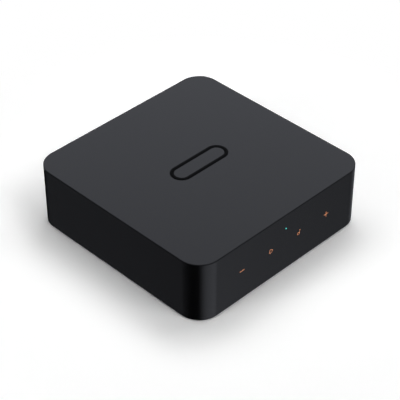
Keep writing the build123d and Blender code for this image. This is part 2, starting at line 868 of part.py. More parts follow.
# Trigger socket: a block behind the panel and a collar through it
with BuildPart() as trigger_socket:
    with BuildSketch(upright(panel_back)):
        with Locations(trigger_axis):
            Rectangle(trigger_width, trigger_height)
    extrude(amount=trigger_depth)
    with BuildSketch(upright(panel_back)):
        with Locations(trigger_axis):
            Circle(trigger_collar)
    extrude(amount=panel_back - panel_face - trigger_proud)
    with BuildSketch(upright(panel_face + trigger_proud)):
        with Locations(trigger_axis):
            Circle(trigger_bore)
    extrude(amount=trigger_bore_depth, mode=Mode.SUBTRACT)
keep(trigger_socket, "trigger_socket")

with BuildPart() as trigger_terminals:
    with BuildSketch(Plane.XY.offset(board_top)):
        with Locations((row_x["trigger"], panel_back - trigger_depth - terminal_length / 2)):
            with GridLocations(terminal_pitch, 0, terminal_count, 1):
                Rectangle(terminal_thickness, terminal_length)
    extrude(amount=terminal_height)
keep(trigger_terminals, "trigger_terminals")

# Power socket: drawn steel shell and the moulded tongue inside it
with BuildPart() as usb_shell:
    with BuildSketch(upright(panel_face)):
        with Locations(usb_axis):
            SlotOverall(usb_width, usb_height)
            SlotOverall(usb_width - 2 * usb_sheet, usb_height - 2 * usb_sheet, mode=Mode.SUBTRACT)
    extrude(amount=usb_depth + usb_back)
keep(usb_shell, "usb_shell")

with BuildPart() as usb_tongue:
    with BuildSketch(upright(panel_face - usb_depth)):
        with Locations(usb_axis):
            SlotOverall(usb_width - 2 * (usb_sheet + fit), usb_height - 2 * (usb_sheet + fit))
    extrude(amount=usb_back)
    with BuildSketch(upright(panel_face - usb_tongue_set)):
        with Locations(usb_axis):
            Rectangle(usb_tongue_width, usb_tongue_thickness)
    extrude(amount=usb_depth - usb_tongue_set)
keep(usb_tongue, "usb_tongue")

# Touch board behind the front wall
with BuildPart() as touch_board:
    with BuildSketch(upright(touch_front)):
        with Locations((key_offset, (touch_low + touch_high) / 2)):
            RectangleRounded(2 * touch_half, touch_high - touch_low, touch_corner)
        with Locations(*touch_boss_places):
            Circle(small_screw_radius + screw_clearance, mode=Mode.SUBTRACT)
    extrude(amount=-touch_thickness)
keep(touch_board, "touch_board")

touch_screws = screws(
    upright(touch_rear),
    touch_boss_places,
    small_screw_radius,
    touch_screw_length,
    small_screw_head,
    small_head_height,
)
keep(touch_screws, "touch_screws")

# Foam pads that carry the touch field to the wall
with BuildPart() as touch_pads:
    with BuildSketch(upright(touch_front)):
        with Locations(*key_places):
            Circle(touch_pad_radius)
    extrude(amount=touch_gap)
keep(touch_pads, "touch_pads")

with BuildPart() as touch_chip:
    with BuildSketch(upright(touch_rear)):
        with Locations((key_places[0][0], key_height)):
            Rectangle(touch_chip_size, touch_chip_size)
    extrude(amount=-touch_chip_height)
keep(touch_chip, "touch_chip")

with BuildPart() as status_lamp:
    with BuildSketch(upright(touch_front)):
        with Locations(light_place):
            Rectangle(lamp_size, lamp_size)
    extrude(amount=lamp_depth)
keep(status_lamp, "status_lamp")

# Light pipe: flush with the front wall, with a collar behind it
with BuildPart() as status_light_pipe:
    with BuildSketch(upright(-inside)):
        with Locations(light_place):
            Circle(light_radius)
    extrude(amount=wall)
    with BuildSketch(upright(-inside)):
        with Locations(light_place):
            Circle(light_collar)
    extrude(amount=lamp_depth + slack - touch_gap)
keep(status_light_pipe, "status_light_pipe")


def ribbon(thickness, width):
    """Flat cable from the touch board down and back to the main board."""
    with BuildPart() as strip:
        with BuildSketch(Plane.YZ):
            with BuildLine():
                FilletPolyline(
                    (ribbon_back, ribbon_touch_socket + ribbon_grip),
                    (ribbon_back, ribbon_level),
                    (ribbon_board_socket + ribbon_grip, ribbon_level),
                    radius=ribbon_bend,
                )
            trace(line_width=thickness)
        extrude(amount=width / 2, both=True)
    return strip


keep(ribbon(ribbon_thickness, ribbon_width), "touch_ribbon")
ribbon_room = ribbon(ribbon_thickness + 2 * fit, ribbon_width + 2 * fit)

with BuildPart() as ribbon_sockets:
    socket_width = ribbon_width + 2 * ribbon_socket_wall
    with BuildSketch(upright(touch_rear)):
        with Locations((0, ribbon_touch_socket + ribbon_socket_length / 2)):
            Rectangle(socket_width, ribbon_socket_length)
    extrude(amount=-ribbon_socket_depth)
    with BuildSketch(Plane.XY.offset(board_top)):
        with Locations((0, ribbon_board_socket + ribbon_socket_length / 2)):
            Rectangle(socket_width, ribbon_socket_length)
    extrude(amount=ribbon_socket_depth)
    add(ribbon_room.part, mode=Mode.SUBTRACT)
keep(ribbon_sockets, "ribbon_sockets")

# Radio module: a small board on two links, with its processor under a shield and a heat sink
radio_x, radio_y = on_board([radio_share])[0]
radio_bottom = board_top + radio_link_height
radio_top = radio_bottom + radio_thickness
shield_size = radio_size - 2 * shield_inset
shield_top = radio_top + shield_height
sink_bottom = shield_top + pad_thickness
link_place = radio_size / 2 - radio_link_edge - radio_link_width / 2


def radio_slab(size, low, thickness):
    """Square slab of the radio module."""
    with BuildPart() as slab:
        with BuildSketch(Plane.XY.offset(low)):
            with Locations((radio_x, radio_y)):
                Rectangle(size, size)
        extrude(amount=thickness)
    return slab


with BuildPart() as radio_links:
    with BuildSketch(Plane.XY.offset(board_top)):
        with Locations((radio_x, radio_y - link_place), (radio_x, radio_y + link_place)):
            Rectangle(radio_link_length, radio_link_width)
    extrude(amount=radio_link_height)
keep(radio_links, "radio_links")

keep(radio_slab(radio_size, radio_bottom, radio_thickness), "radio_board")
keep(radio_slab(processor_size, radio_top, processor_height), "processor")
keep(radio_slab(shield_size - 2 * pad_inset, shield_top, pad_thickness), "thermal_pad")

with BuildPart() as radio_shield:
    with BuildSketch(Plane.XY.offset(radio_top)):
        with Locations((radio_x, radio_y)):
            Rectangle(shield_size, shield_size)
    extrude(amount=shield_height)
    offset(amount=-shield_sheet, openings=radio_shield.faces().sort_by(Axis.Z)[0])
keep(radio_shield, "radio_shield")

with BuildPart() as heat_sink:
    with BuildSketch(Plane.XY.offset(sink_bottom)):
        with Locations((radio_x, radio_y)):
            Rectangle(shield_size, shield_size)
    extrude(amount=sink_base)
    with BuildSketch(Plane.XY.offset(sink_bottom + sink_base)):
        with Locations((radio_x, radio_y)):
            with GridLocations((shield_size - fin_thickness) / (fin_count - 1), 0, fin_count, 1):
                Rectangle(fin_thickness, shield_size)
    extrude(amount=fin_height)
keep(heat_sink, "heat_sink")

# Aerials on the side walls, with their leads down to the radio module
aerial_socket_x = radio_size / 2 - aerial_socket_edge - aerial_socket_radius
aerial_socket_y = radio_y + aerial_socket_x
aerial_socket_top = radio_top + aerial_socket_height

with BuildPart() as aerial_sockets:
    with BuildSketch(Plane.XY.offset(radio_top)):
        for x in (-aerial_socket_x, aerial_socket_x):
            with Locations((radio_x + x, aerial_socket_y)):
                Circle(aerial_socket_radius)
    extrude(amount=aerial_socket_height)
keep(aerial_sockets, "aerial_sockets")


def widest_arc(before, corner, after):
    """Radius of the largest arc that its two runs leave room for."""
    run_in = Vector(*corner) - Vector(*before)
    run_out = Vector(*after) - Vector(*corner)
    half_turn = math.radians(run_in.get_angle(run_out)) / 2
    return arc_share * min(run_in.length, run_out.length) / math.tan(half_turn)


# Flat aerials stuck to the side walls
with BuildPart() as aerials:
    for hand in (-1, 1):
        with BuildSketch(Plane.YZ.offset(hand * inside)):
            with Locations((radio_y, aerial_middle)):
                Rectangle(aerial_length, aerial_height)
        extrude(amount=-hand * aerial_thickness)
keep(aerials, "aerials")

# Coaxial leads: level out of each aerial, across, then down on its socket
with BuildPart() as aerial_leads:
    for hand in (-1, 1):
        aerial_face = hand * (inside - aerial_thickness)
        socket_x = radio_x + hand * aerial_socket_x
        route = [
            (aerial_face, radio_y, aerial_middle),
            (aerial_face - hand * lead_start, radio_y, aerial_middle),
            (socket_x, aerial_socket_y, aerial_middle - lead_drop),
            (socket_x, aerial_socket_y, aerial_socket_top),
        ]
        radii = [widest_arc(*route[n : n + 3]) for n in range(len(route) - 2)]
        with BuildLine() as line:
            FilletPolyline(*route, radius=radii)
        path = line.wire()
        with BuildSketch(Plane(origin=path @ 0, z_dir=path % 0)) as section:
            RegularPolygon(lead_radius, lead_sides)
        sweep(section.sketch, path=path)
        drawn = section.sketch.area * path.length
        print("aerial lead radii", [round(r, 1) for r in radii], "section times length", round(drawn, 1))
print("both leads", round(aerial_leads.part.volume, 1))
keep(aerial_leads, "aerial_leads")


def chips(shares, length, width, thickness):
    """Rectangular parts on the main board."""
    with BuildPart() as group:
        with BuildSketch(Plane.XY.offset(board_top)):
            with Locations(*on_board(shares)):
                Rectangle(length, width)
        extrude(amount=thickness)
    return group


keep(chips(converter_shares, converter_size, converter_size, converter_height), "converter_chip")
keep(chips(amplifier_shares, amplifier_width, amplifier_length, amplifier_height), "amplifier_chips")
keep(chips(regulator_shares, regulator_size, regulator_size, regulator_height), "regulator_chips")
keep(chips(crystal_shares, crystal_length, crystal_width, crystal_height), "crystals")

# Power coils with rounded corners
with BuildPart() as power_coils:
    with BuildSketch(Plane.XY.offset(board_top)):
        with Locations(*on_board(coil_shares)):
            RectangleRounded(coil_size, coil_size, coil_round)
    extrude(amount=coil_height)
keep(power_coils, "power_coils")

# Can capacitors on square bases
with BuildPart() as can_capacitors:
    with BuildSketch(Plane.XY.offset(board_top)):
        with Locations(*on_board(can_shares)):
            Rectangle(can_base, can_base)
    extrude(amount=can_base_height)
    with BuildSketch(Plane.XY.offset(board_top + can_base_height)):
        with Locations(*on_board(can_shares)):
            Circle(can_radius)
    extrude(amount=can_height - can_base_height)
    chamfer(can_capacitors.faces().group_by(Axis.Z)[-1].edges(), can_bevel)
keep(can_capacitors, "can_capacitors")
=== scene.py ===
import json
import math

import bpy
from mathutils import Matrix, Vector


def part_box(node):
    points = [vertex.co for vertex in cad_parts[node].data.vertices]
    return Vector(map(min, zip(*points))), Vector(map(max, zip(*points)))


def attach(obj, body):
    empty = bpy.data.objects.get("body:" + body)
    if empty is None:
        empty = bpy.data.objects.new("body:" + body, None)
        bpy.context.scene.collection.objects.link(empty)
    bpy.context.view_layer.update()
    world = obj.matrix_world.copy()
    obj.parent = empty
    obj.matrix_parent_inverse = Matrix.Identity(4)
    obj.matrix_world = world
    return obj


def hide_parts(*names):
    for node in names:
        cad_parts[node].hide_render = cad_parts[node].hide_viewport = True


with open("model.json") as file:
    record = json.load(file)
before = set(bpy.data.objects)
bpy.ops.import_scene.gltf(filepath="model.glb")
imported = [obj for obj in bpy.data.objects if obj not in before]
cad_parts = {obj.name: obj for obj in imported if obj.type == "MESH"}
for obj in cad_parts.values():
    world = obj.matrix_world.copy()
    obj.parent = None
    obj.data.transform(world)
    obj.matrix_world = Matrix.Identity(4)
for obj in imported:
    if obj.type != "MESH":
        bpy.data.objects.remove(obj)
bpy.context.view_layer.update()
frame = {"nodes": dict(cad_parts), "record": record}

bodyName = "streamer"
mm = 0.001
overrun = 1 * mm        # by which a cutter stands out of what it cuts
bury = 0.5 * mm         # by which fused blocks run into each other
hair = 0.005 * mm       # slack of tests, and what a full round lacks to half its width
mergeReach = 0.002 * mm         # points closer than this become one
facing = 0.9            # a face looks along an axis when its normal has this much of it
pinSteps = 8            # facets of a quarter round on pins and screw holes
alongX, alongY, alongZ = range(3)


# Small helpers

def leaveEdit():
    if bpy.context.mode != "OBJECT":
        bpy.ops.object.mode_set(mode="OBJECT")


def deselectAll():
    leaveEdit()
    bpy.ops.object.select_all(action="DESELECT")


def pick(obj):
    deselectAll()
    obj.select_set(True)
    bpy.context.view_layer.objects.active = obj


def nameIt(name):
    obj = bpy.context.object
    obj.name = name
    obj.data.name = name
    return obj


def addObject(name, data):
    obj = bpy.data.objects.new(name, data)
    bpy.context.collection.objects.link(obj)
    return obj


def settle(obj):  # place, turn and size go into the mesh
    pick(obj)
    bpy.ops.object.transform_apply(location=True, rotation=True, scale=True)
    return obj


def openEdit(obj, kind, action="SELECT"):
    pick(obj)
    bpy.ops.object.mode_set(mode="EDIT")
    bpy.ops.mesh.select_mode(type=kind)
    bpy.ops.mesh.select_all(action=action)


def chooseEdges(obj, test):  # leaves edit mode open with those edges selected
    openEdit(obj, "EDGE", "DESELECT")
    leaveEdit()
    points = obj.data.vertices
    for edge in obj.data.edges:
        a, b = (points[i].co for i in edge.vertices)
        edge.select = test(a, b)
    bpy.ops.object.mode_set(mode="EDIT")


def chooseFaces(obj, test):  # the same for faces
    openEdit(obj, "FACE", "DESELECT")
    leaveEdit()
    for face in obj.data.polygons:
        face.select = test(face.center, face.normal)
    bpy.ops.object.mode_set(mode="EDIT")


def roundChosen(width, steps=1):
    bpy.ops.mesh.bevel(offset=width, segments=steps)
    leaveEdit()


def pushUp(height):
    bpy.ops.mesh.extrude_region_move(TRANSFORM_OT_translate={"value": (0, 0, height)})


def applied(obj, kind, **settings):
    pick(obj)
    modifier = obj.modifiers.new(kind.lower(), kind)
    for key, value in settings.items():
        setattr(modifier, key, value)
    bpy.ops.object.modifier_apply(modifier=modifier.name)
    return obj


def softened(obj, width, steps=2, angle=40):  # a small round on every sharp edge
    limit = math.radians(angle)
    return applied(obj, "BEVEL", width=width, segments=steps, limit_method="ANGLE", angle_limit=limit)


def smoothed(obj, angle):
    pick(obj)
    bpy.ops.object.shade_smooth_by_angle(angle=math.radians(angle))
    return applied(obj, "WEIGHTED_NORMAL", keep_sharp=True)


def combined(obj, other, operation):
    applied(obj, "BOOLEAN", operation=operation, solver="EXACT", object=other)
    bpy.data.objects.remove(other, do_unlink=True)
    return obj


def cutAway(obj, cutter):
    return combined(obj, cutter, "DIFFERENCE")


def fuseWith(obj, other):
    return combined(obj, other, "UNION")


def joined(pieces, name):
    deselectAll()
    for piece in pieces:
        piece.select_set(True)
    bpy.context.view_layer.objects.active = pieces[0]
    if len(pieces) > 1:
        bpy.ops.object.join()
    return settle(nameIt(name))


def copiesAt(obj, places):  # modelled once at the origin, then copied, each with its own mesh
    name = obj.name
    twins = []
    for place in places:
        twin = obj.copy()
        twin.data = obj.data.copy()
        twin.location = place
        bpy.context.collection.objects.link(twin)
        twins.append(twin)
    bpy.data.objects.remove(obj, do_unlink=True)
    return joined(twins, name)


def sealed(obj):  # seams merged, faces outward
    openEdit(obj, "VERT")
    bpy.ops.mesh.remove_doubles(threshold=mergeReach)
    bpy.ops.mesh.normals_make_consistent(inside=False)
    leaveEdit()
    return obj


def addBox(name, low, high):
    deselectAll()
    size = [b - a for a, b in zip(low, high)]
    middle = [(a + b) / 2 for a, b in zip(low, high)]
    bpy.ops.mesh.primitive_cube_add(size=1, location=middle, scale=size)
    return settle(nameIt(name))


def spread(low, high, side, end):  # a box's corners moved outward, across and along Y
    return (low.x - side, low.y - end, low.z - side), (high.x + side, high.y + end, high.z + side)


def addRoundedBox(name, low, high, radius, steps, axis):  # the four edges along one axis are rounded
    block = addBox(name, low, high)
    span = high[axis] - low[axis]
    chooseEdges(block, lambda a, b: abs(a[axis] - b[axis]) > span / 2)
    roundChosen(radius, steps)
    return block


def addRing(name, outer, inner, corners, low, high, steps=20):  # outer and inner are half sizes
    ring, core = (
        addRoundedBox(name, (-x, -y, low - over), (x, y, high + over), radius, steps, alongZ)
        for (x, y), radius, over in ((outer, corners[0], 0), (inner, corners[1], overrun))
    )
    return cutAway(ring, core)


def middleOf(node):
    low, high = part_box(node)
    return (low + high) / 2


def axisOf(node):  # where its middle line along Y crosses y = 0
    middle = middleOf(node)
    return middle.x, 0, middle.z


def evenly(count, pitch):  # places about the middle
    return [(n - (count - 1) / 2) * pitch for n in range(count)]


def fourCorners(place, z=0):
    return [(x * place, y * place, z) for x in (-1, 1) for y in (-1, 1)]


def turned(name, profile, sides=64, tube=False):  # (radius, y) rings round the Y axis
    deselectAll()
    radius, y = profile[0]
    fill = "NOTHING" if tube else "NGON"
    bpy.ops.mesh.primitive_circle_add(
        vertices=sides, radius=radius, fill_type=fill, location=(0, y, 0), rotation=(math.pi / 2, 0, 0)
    )
    obj = settle(nameIt(name))
    openEdit(obj, "EDGE")
    for nextRadius, nextY in profile[1:] + (profile[:1] if tube else []):
        bpy.ops.mesh.extrude_edges_move(TRANSFORM_OT_translate={"value": (0, nextY - y, 0)})
        grow = nextRadius / radius
        bpy.ops.transform.resize(value=(grow, 1, grow), center_override=(0, nextY, 0))
        radius, y = nextRadius, nextY
    if not tube:
        bpy.ops.mesh.edge_face_add()
    return sealed(obj)


def dress(obj, slot, material=None, body=bodyName, angle=35):  # smooths it, and gives it its finish and body
    smoothed(obj, angle)
    obj.data.materials.clear()
    obj.data.materials.append(material or materials[slot])
    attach(obj, body)
    return obj


# Camera, at the photograph's viewing angle
view = {
    "place": (-0.4874, -0.4873, 0.5614), "elevation": 38.49, "azimuth": -45.04,
    "lens": 130.14, "sensor": 36, "near": 0.01,
}


def placeCamera():
    data = bpy.data.cameras.new("camera")
    data.lens = view["lens"]
    data.sensor_width = view["sensor"]
    data.clip_start = view["near"]
    camera = addObject("camera", data)
    camera.location = view["place"]
    camera.rotation_euler = (math.radians(90 - view["elevation"]), 0, math.radians(view["azimuth"]))
    bpy.context.scene.camera = camera


placeCamera()
bpy.context.scene.view_settings.view_transform = "Standard"
print("camera placed")


# Studio: a white floor under five soft lamps, and a sky that is white to the eye and grey to gloss
studio = {
    "floorSize": 8.0,
    "floorSeen": 1.23,              # the floor's paleness to the camera, and to everything else
    "floorBounce": 0.80,
    "floorFade": (0.15, 0.21),      # distance over which the floor seen turns plain white
    "glossTint": (0.965, 1.0, 1.11),
    "glossHigh": (1.06, 0.30),      # what gloss sees above the wall's top and overhead
    "glossHeights": (0.4, 1),       # and at which heights
    "wall": (0.25, 0.42),           # heights between which the dark horizon turns into the pale wall
    "floorEdge": (-0.30, -0.12),    # heights between which the floor turns dark towards the horizon
    "cardCore": (0.8, 0.6),         # full share of a panel's half width and half height
}
lamps = [       # name, place, size, power
    ("backLamp", (0.364, 0.280, 0.774), 0.3, 1.4),
    ("frontLamp", (0.221, -1.411, 1.802), 0.9, 14.5),
    ("farLamp", (-0.028, 1.253, 2.163), 1.4, 12.2),
    ("leftLamp", (-0.845, 0.108, 0.292), 0.3, 2.8),
    ("rightLamp", (0.246, -0.053, 0.545), 0.3, 1.0),
]
# Level of the floor as gloss sees it, round the compass: degrees from +X, level
lowGloss = [
    (0, 0.22), (12, 0.25), (25, 0.20), (38, 0.08), (45, 0.0), (90, 0.0), (97, 0.02), (106, 0.06), (116, 0.10),
    (122, 0.12), (128, 0.13), (141, 0.075), (159, 0.047), (175, 0.015),
    (190, 0.0), (224, 0.0), (235, 0.18), (247, 0.44), (262, 0.61), (293, 0.64), (309, 0.50), (322, 0.14),
    (340, 0.12), (352, 0.17), (360, 0.22),
]
# A soft panel that only gloss sees: compass degrees, half width, height, half height, level
glossCard = (70, 50, -0.25, 0.18, 0.30)


def link(tree, a, b):
    tree.links.new(a, b)


def mathNode(tree, operation, *values):
    node = tree.nodes.new("ShaderNodeMath")
    node.operation = operation
    for socket, value in zip(node.inputs, values):
        if isinstance(value, (int, float)):
            socket.default_value = value
        else:
            link(tree, value, socket)
    return node.outputs[0]


def mapRange(tree, value, start, end, kind="SMOOTHSTEP"):
    node = tree.nodes.new("ShaderNodeMapRange")
    node.interpolation_type = kind
    node.inputs["From Min"].default_value = start[0]
    node.inputs["From Max"].default_value = start[1]
    node.inputs["To Min"].default_value = end[0]
    node.inputs["To Max"].default_value = end[1]
    link(tree, value, node.inputs["Value"])
    return node.outputs[0]


def scaled(tree, colour, level):
    node = tree.nodes.new("ShaderNodeVectorMath")
    node.operation = "SCALE"
    if isinstance(colour, tuple):
        node.inputs[0].default_value = colour
    else:
        link(tree, colour, node.inputs[0])
    link(tree, level, node.inputs["Scale"])
    return node.outputs[0]


def mixed(tree, factor, first, second):
    node = tree.nodes.new("ShaderNodeMixShader")
    for socket, value in zip(node.inputs, (factor, first, second)):
        link(tree, value, socket)
    return node.outputs[0]


def diffuse(tree, level):
    node = tree.nodes.new("ShaderNodeBsdfDiffuse")
    node.inputs["Color"].default_value = (level,) * 3 + (1,)
    return node.outputs[0]


def cardGlow(tree, turn, height):
    angle, halfWidth, middle, halfHeight, level = glossCard
    sides = mathNode(tree, "ABSOLUTE", mathNode(tree, "SUBTRACT", turn, angle / 360))
    rise = mathNode(tree, "ABSOLUTE", mathNode(tree, "SUBTRACT", height, middle))
    wide, high = studio["cardCore"]
    across = mapRange(tree, sides, (wide * halfWidth / 360, halfWidth / 360), (level, 0))
    up = mapRange(tree, rise, (high * halfHeight, halfHeight), (1, 0))
    return scaled(tree, studio["glossTint"], mathNode(tree, "MULTIPLY", across, up))


def buildWorld():
    world = bpy.data.worlds.new("studio")
    bpy.context.scene.world = world
    world.use_nodes = True
    tree = world.node_tree
    tree.nodes.clear()
    output = tree.nodes.new("ShaderNodeOutputWorld")
    place = tree.nodes.new("ShaderNodeTexCoord")
    split = tree.nodes.new("ShaderNodeSeparateXYZ")
    link(tree, place.outputs["Generated"], split.inputs[0])
    height = split.outputs["Z"]
    around = mathNode(tree, "ARCTAN2", split.outputs["Y"], split.outputs["X"])
    turn = mathNode(tree, "DIVIDE", around, math.tau)
    compass = mathNode(tree, "FRACT", mathNode(tree, "ADD", turn, 1.0))
    ramp = tree.nodes.new("ShaderNodeValToRGB")
    stops = ramp.color_ramp.elements
    while len(stops) < len(lowGloss):
        stops.new(0.5)
    for stop, (angle, level) in zip(stops, lowGloss):
        stop.position = angle / 360
        stop.color = tuple(level * c for c in studio["glossTint"]) + (1,)
    link(tree, compass, ramp.inputs[0])
    low = scaled(tree, ramp.outputs[0], mapRange(tree, height, studio["floorEdge"], (1, 0)))
    pale = mapRange(tree, height, studio["glossHeights"], studio["glossHigh"], "LINEAR")
    high = scaled(tree, studio["glossTint"], pale)
    gloss = tree.nodes.new("ShaderNodeMix")
    gloss.data_type = "VECTOR"
    link(tree, mapRange(tree, height, studio["wall"], (0, 1)), gloss.inputs["Factor"])
    link(tree, low, gloss.inputs[4])        # by number, as sockets of all kinds share their names
    link(tree, high, gloss.inputs[5])
    seen = tree.nodes.new("ShaderNodeVectorMath")
    seen.operation = "ADD"
    link(tree, gloss.outputs[1], seen.inputs[0])
    link(tree, cardGlow(tree, compass, height), seen.inputs[1])
    glossSky = tree.nodes.new("ShaderNodeBackground")
    link(tree, seen.outputs[0], glossSky.inputs["Color"])
    plainSky = tree.nodes.new("ShaderNodeBackground")
    plainSky.inputs["Color"].default_value = (1, 1, 1, 1)
    rays = tree.nodes.new("ShaderNodeLightPath")
    white = mathNode(tree, "MAXIMUM", rays.outputs["Is Camera Ray"], rays.outputs["Is Transmission Ray"])
    link(tree, white, plainSky.inputs["Strength"])
    sky = mixed(tree, rays.outputs["Is Glossy Ray"], plainSky.outputs[0], glossSky.outputs[0])
    link(tree, sky, output.inputs["Surface"])


def buildFloor():
    deselectAll()
    bpy.ops.mesh.primitive_plane_add(size=studio["floorSize"], location=(0, 0, 0))
    floor = nameIt("floor")
    material = bpy.data.materials.new("floor")
    material.use_nodes = True
    tree = material.node_tree
    tree.nodes.clear()
    output = tree.nodes.new("ShaderNodeOutputMaterial")
    rays = tree.nodes.new("ShaderNodeLightPath")
    plain = tree.nodes.new("ShaderNodeEmission")
    place = tree.nodes.new("ShaderNodeTexCoord")
    reach = tree.nodes.new("ShaderNodeVectorMath")
    reach.operation = "LENGTH"
    link(tree, place.outputs["Object"], reach.inputs[0])
    fade = mapRange(tree, reach.outputs["Value"], studio["floorFade"], (0, 1))
    seen = mixed(tree, fade, diffuse(tree, studio["floorSeen"]), plain.outputs[0])
    look = mixed(tree, rays.outputs["Is Camera Ray"], diffuse(tree, studio["floorBounce"]), seen)
    link(tree, look, output.inputs["Surface"])
    floor.data.materials.append(material)
    floor.visible_glossy = False


def buildLamp(name, place, size, power):
    data = bpy.data.lights.new(name, "AREA")
    data.size = size
    data.energy = power
    lamp = addObject(name, data)
    lamp.location = place
    lamp.rotation_euler = Vector(place).to_track_quat("Z", "Y").to_euler()
    lamp.visible_glossy = False


buildWorld()
buildFloor()
for lamp in lamps:
    buildLamp(*lamp)
print("studio built")


# Finishes: colour, roughness, size in mm of the fine pattern, and what differs from lookDefaults. cloud is
# the size in mm of the broad pattern, stretch draws the fine one out, and glow is a colour and its strength
steel = (0.56, 0.56, 0.55)
looks = {
    "housing": ((0.0022, 0.0022, 0.0025), 0.24, 0.25, {"bump": 0.02}),
    "inlay": ((0.0008, 0.0008, 0.0009), 0.05, 1.5, {"shine": 0.03, "bump": 0.01}),
    # the signs' orange print, with a painted glow that lifts them on the dimly lit front wall
    "iconInkWithPaintedGlow": ((0.86, 0.36, 0.17), 0.45, 0.15, {"bump": 0.2, "glow": (1.0, 0.34, 0.14, 0.32)}),
    "statusGlow": ((0.05, 0.55, 0.50), 0.2, 0.2, {"bump": 0.1, "glow": (0.10, 0.85, 0.75, 1.0)}),
    "cover": ((0.012, 0.012, 0.013), 0.55, 0.35, {"bump": 0.5}),
    "panel": ((0.009, 0.009, 0.010), 0.42, 0.30, {"bump": 0.35}),
    "foot_rubber": ((0.014, 0.014, 0.014), 0.80, 0.5, {"bump": 0.6}),
    "weight_steel": ((0.42, 0.42, 0.43), 0.38, 0.4, {"metal": 1, "stretch": (0.05, 1, 1)}),
    "screw_steel": ((0.06, 0.06, 0.065), 0.30, 0.2, {"metal": 1, "bump": 0.2}),
    "circuit_board": ((0.006, 0.030, 0.014), 0.25, 1.6, {"pattern": "traces", "bump": 0.4}),
    "black_moulding": ((0.010, 0.010, 0.011), 0.30, 0.3, {"bump": 0.12}),
    "gold_contact": ((0.93, 0.62, 0.21), 0.17, 0.12, {"metal": 1, "stretch": (0.02, 1, 0.02)}),
    "white_insulator": ((0.80, 0.80, 0.77), 0.35, 0.4, {"spread": 0.03}),
    "red_insulator": ((0.58, 0.012, 0.016), 0.33, 0.4),
    "orange_insulator": ((0.80, 0.19, 0.010), 0.33, 0.4),
    "shutter_plastic": ((0.030, 0.030, 0.032), 0.38, 0.25, {"bump": 0.2}),
    "spring_steel": (steel, 0.25, 0.1, {"metal": 1}),
    "pin_steel": (steel, 0.20, 0.15, {"metal": 1, "stretch": (0.05, 1, 1)}),
    "chip_plastic": ((0.016, 0.016, 0.017), 0.60, 0.12, {"bump": 0.4}),
    "sheet_steel": ((0.62, 0.62, 0.60), 0.27, 0.25, {"metal": 1, "stretch": (1, 0.04, 1)}),
    "light_pipe": ((0.78, 0.84, 0.80), 0.22, 0.5, {"clear": 0.6}),
    "pad_foam": ((0.030, 0.030, 0.032), 0.9, 0.35, {"pattern": "pores", "bump": 0.8}),
    "socket_nylon": ((0.72, 0.70, 0.62), 0.45, 0.4),
    "ribbon_film": ((0.62, 0.63, 0.62), 0.28, 1.0, {"pattern": "stripes", "bump": 0.3}),
    "sink_aluminium": ((0.70, 0.71, 0.72), 0.36, 0.2, {"metal": 1, "stretch": (1, 0.03, 1)}),
    "aerial_board": ((0.006, 0.012, 0.030), 0.28, 3.0, {"pattern": "traces", "bump": 0.4}),
    "lead_jacket": ((0.020, 0.020, 0.021), 0.45, 0.3, {"bump": 0.2}),
    "crystal_can": ((0.66, 0.66, 0.65), 0.22, 0.3, {"metal": 1, "stretch": (0.1, 1, 1)}),
    "coil_ferrite": ((0.030, 0.030, 0.031), 0.70, 0.18, {"bump": 0.5, "spread": 0.3}),
    "can_aluminium": ((0.72, 0.72, 0.73), 0.24, 0.2, {"metal": 1, "stretch": (1, 1, 0.05)}),
}
lookDefaults = {
    "metal": 0, "bump": 0.1, "spread": 0.07, "cloud": 11.0, "stretch": (1, 1, 1), "pattern": "grain",
}
reliefDepth = 0.05 * mm
roughSpread = 0.12      # share by which the fine pattern changes the roughness
lineTint = 0.25         # share by which traces and stripes are paler


def tintRamp(tree, factor, colour, spread, positions=(0.3, 0.7)):
    ramp = tree.nodes.new("ShaderNodeValToRGB")
    for stop, position, sign in zip(ramp.color_ramp.elements, positions, (-1, 1)):
        stop.position = position
        stop.color = tuple(min(1, c * (1 + sign * spread)) for c in colour) + (1,)
    link(tree, factor, ramp.inputs[0])
    return ramp.outputs[0]


def finePattern(tree, kind, place, grain):  # returns a 0..1 pattern for relief and roughness
    if kind == "pores":
        node = tree.nodes.new("ShaderNodeTexVoronoi")
        output = node.outputs["Distance"]
    elif kind == "traces":
        node = tree.nodes.new("ShaderNodeTexBrick")
        node.inputs["Mortar Size"].default_value = 0.06
        node.inputs["Color1"].default_value = (0, 0, 0, 1)
        node.inputs["Color2"].default_value = (0.15, 0.15, 0.15, 1)
        node.inputs["Mortar"].default_value = (1, 1, 1, 1)
        output = node.outputs["Color"]
    elif kind == "stripes":
        node = tree.nodes.new("ShaderNodeTexWave")
        output = node.outputs["Color"]
    else:
        node = tree.nodes.new("ShaderNodeTexNoise")
        node.inputs["Detail"].default_value = 3
        output = node.outputs["Fac"]
    node.inputs["Scale"].default_value = 1 / (grain * mm)
    link(tree, place, node.inputs["Vector"])
    return output


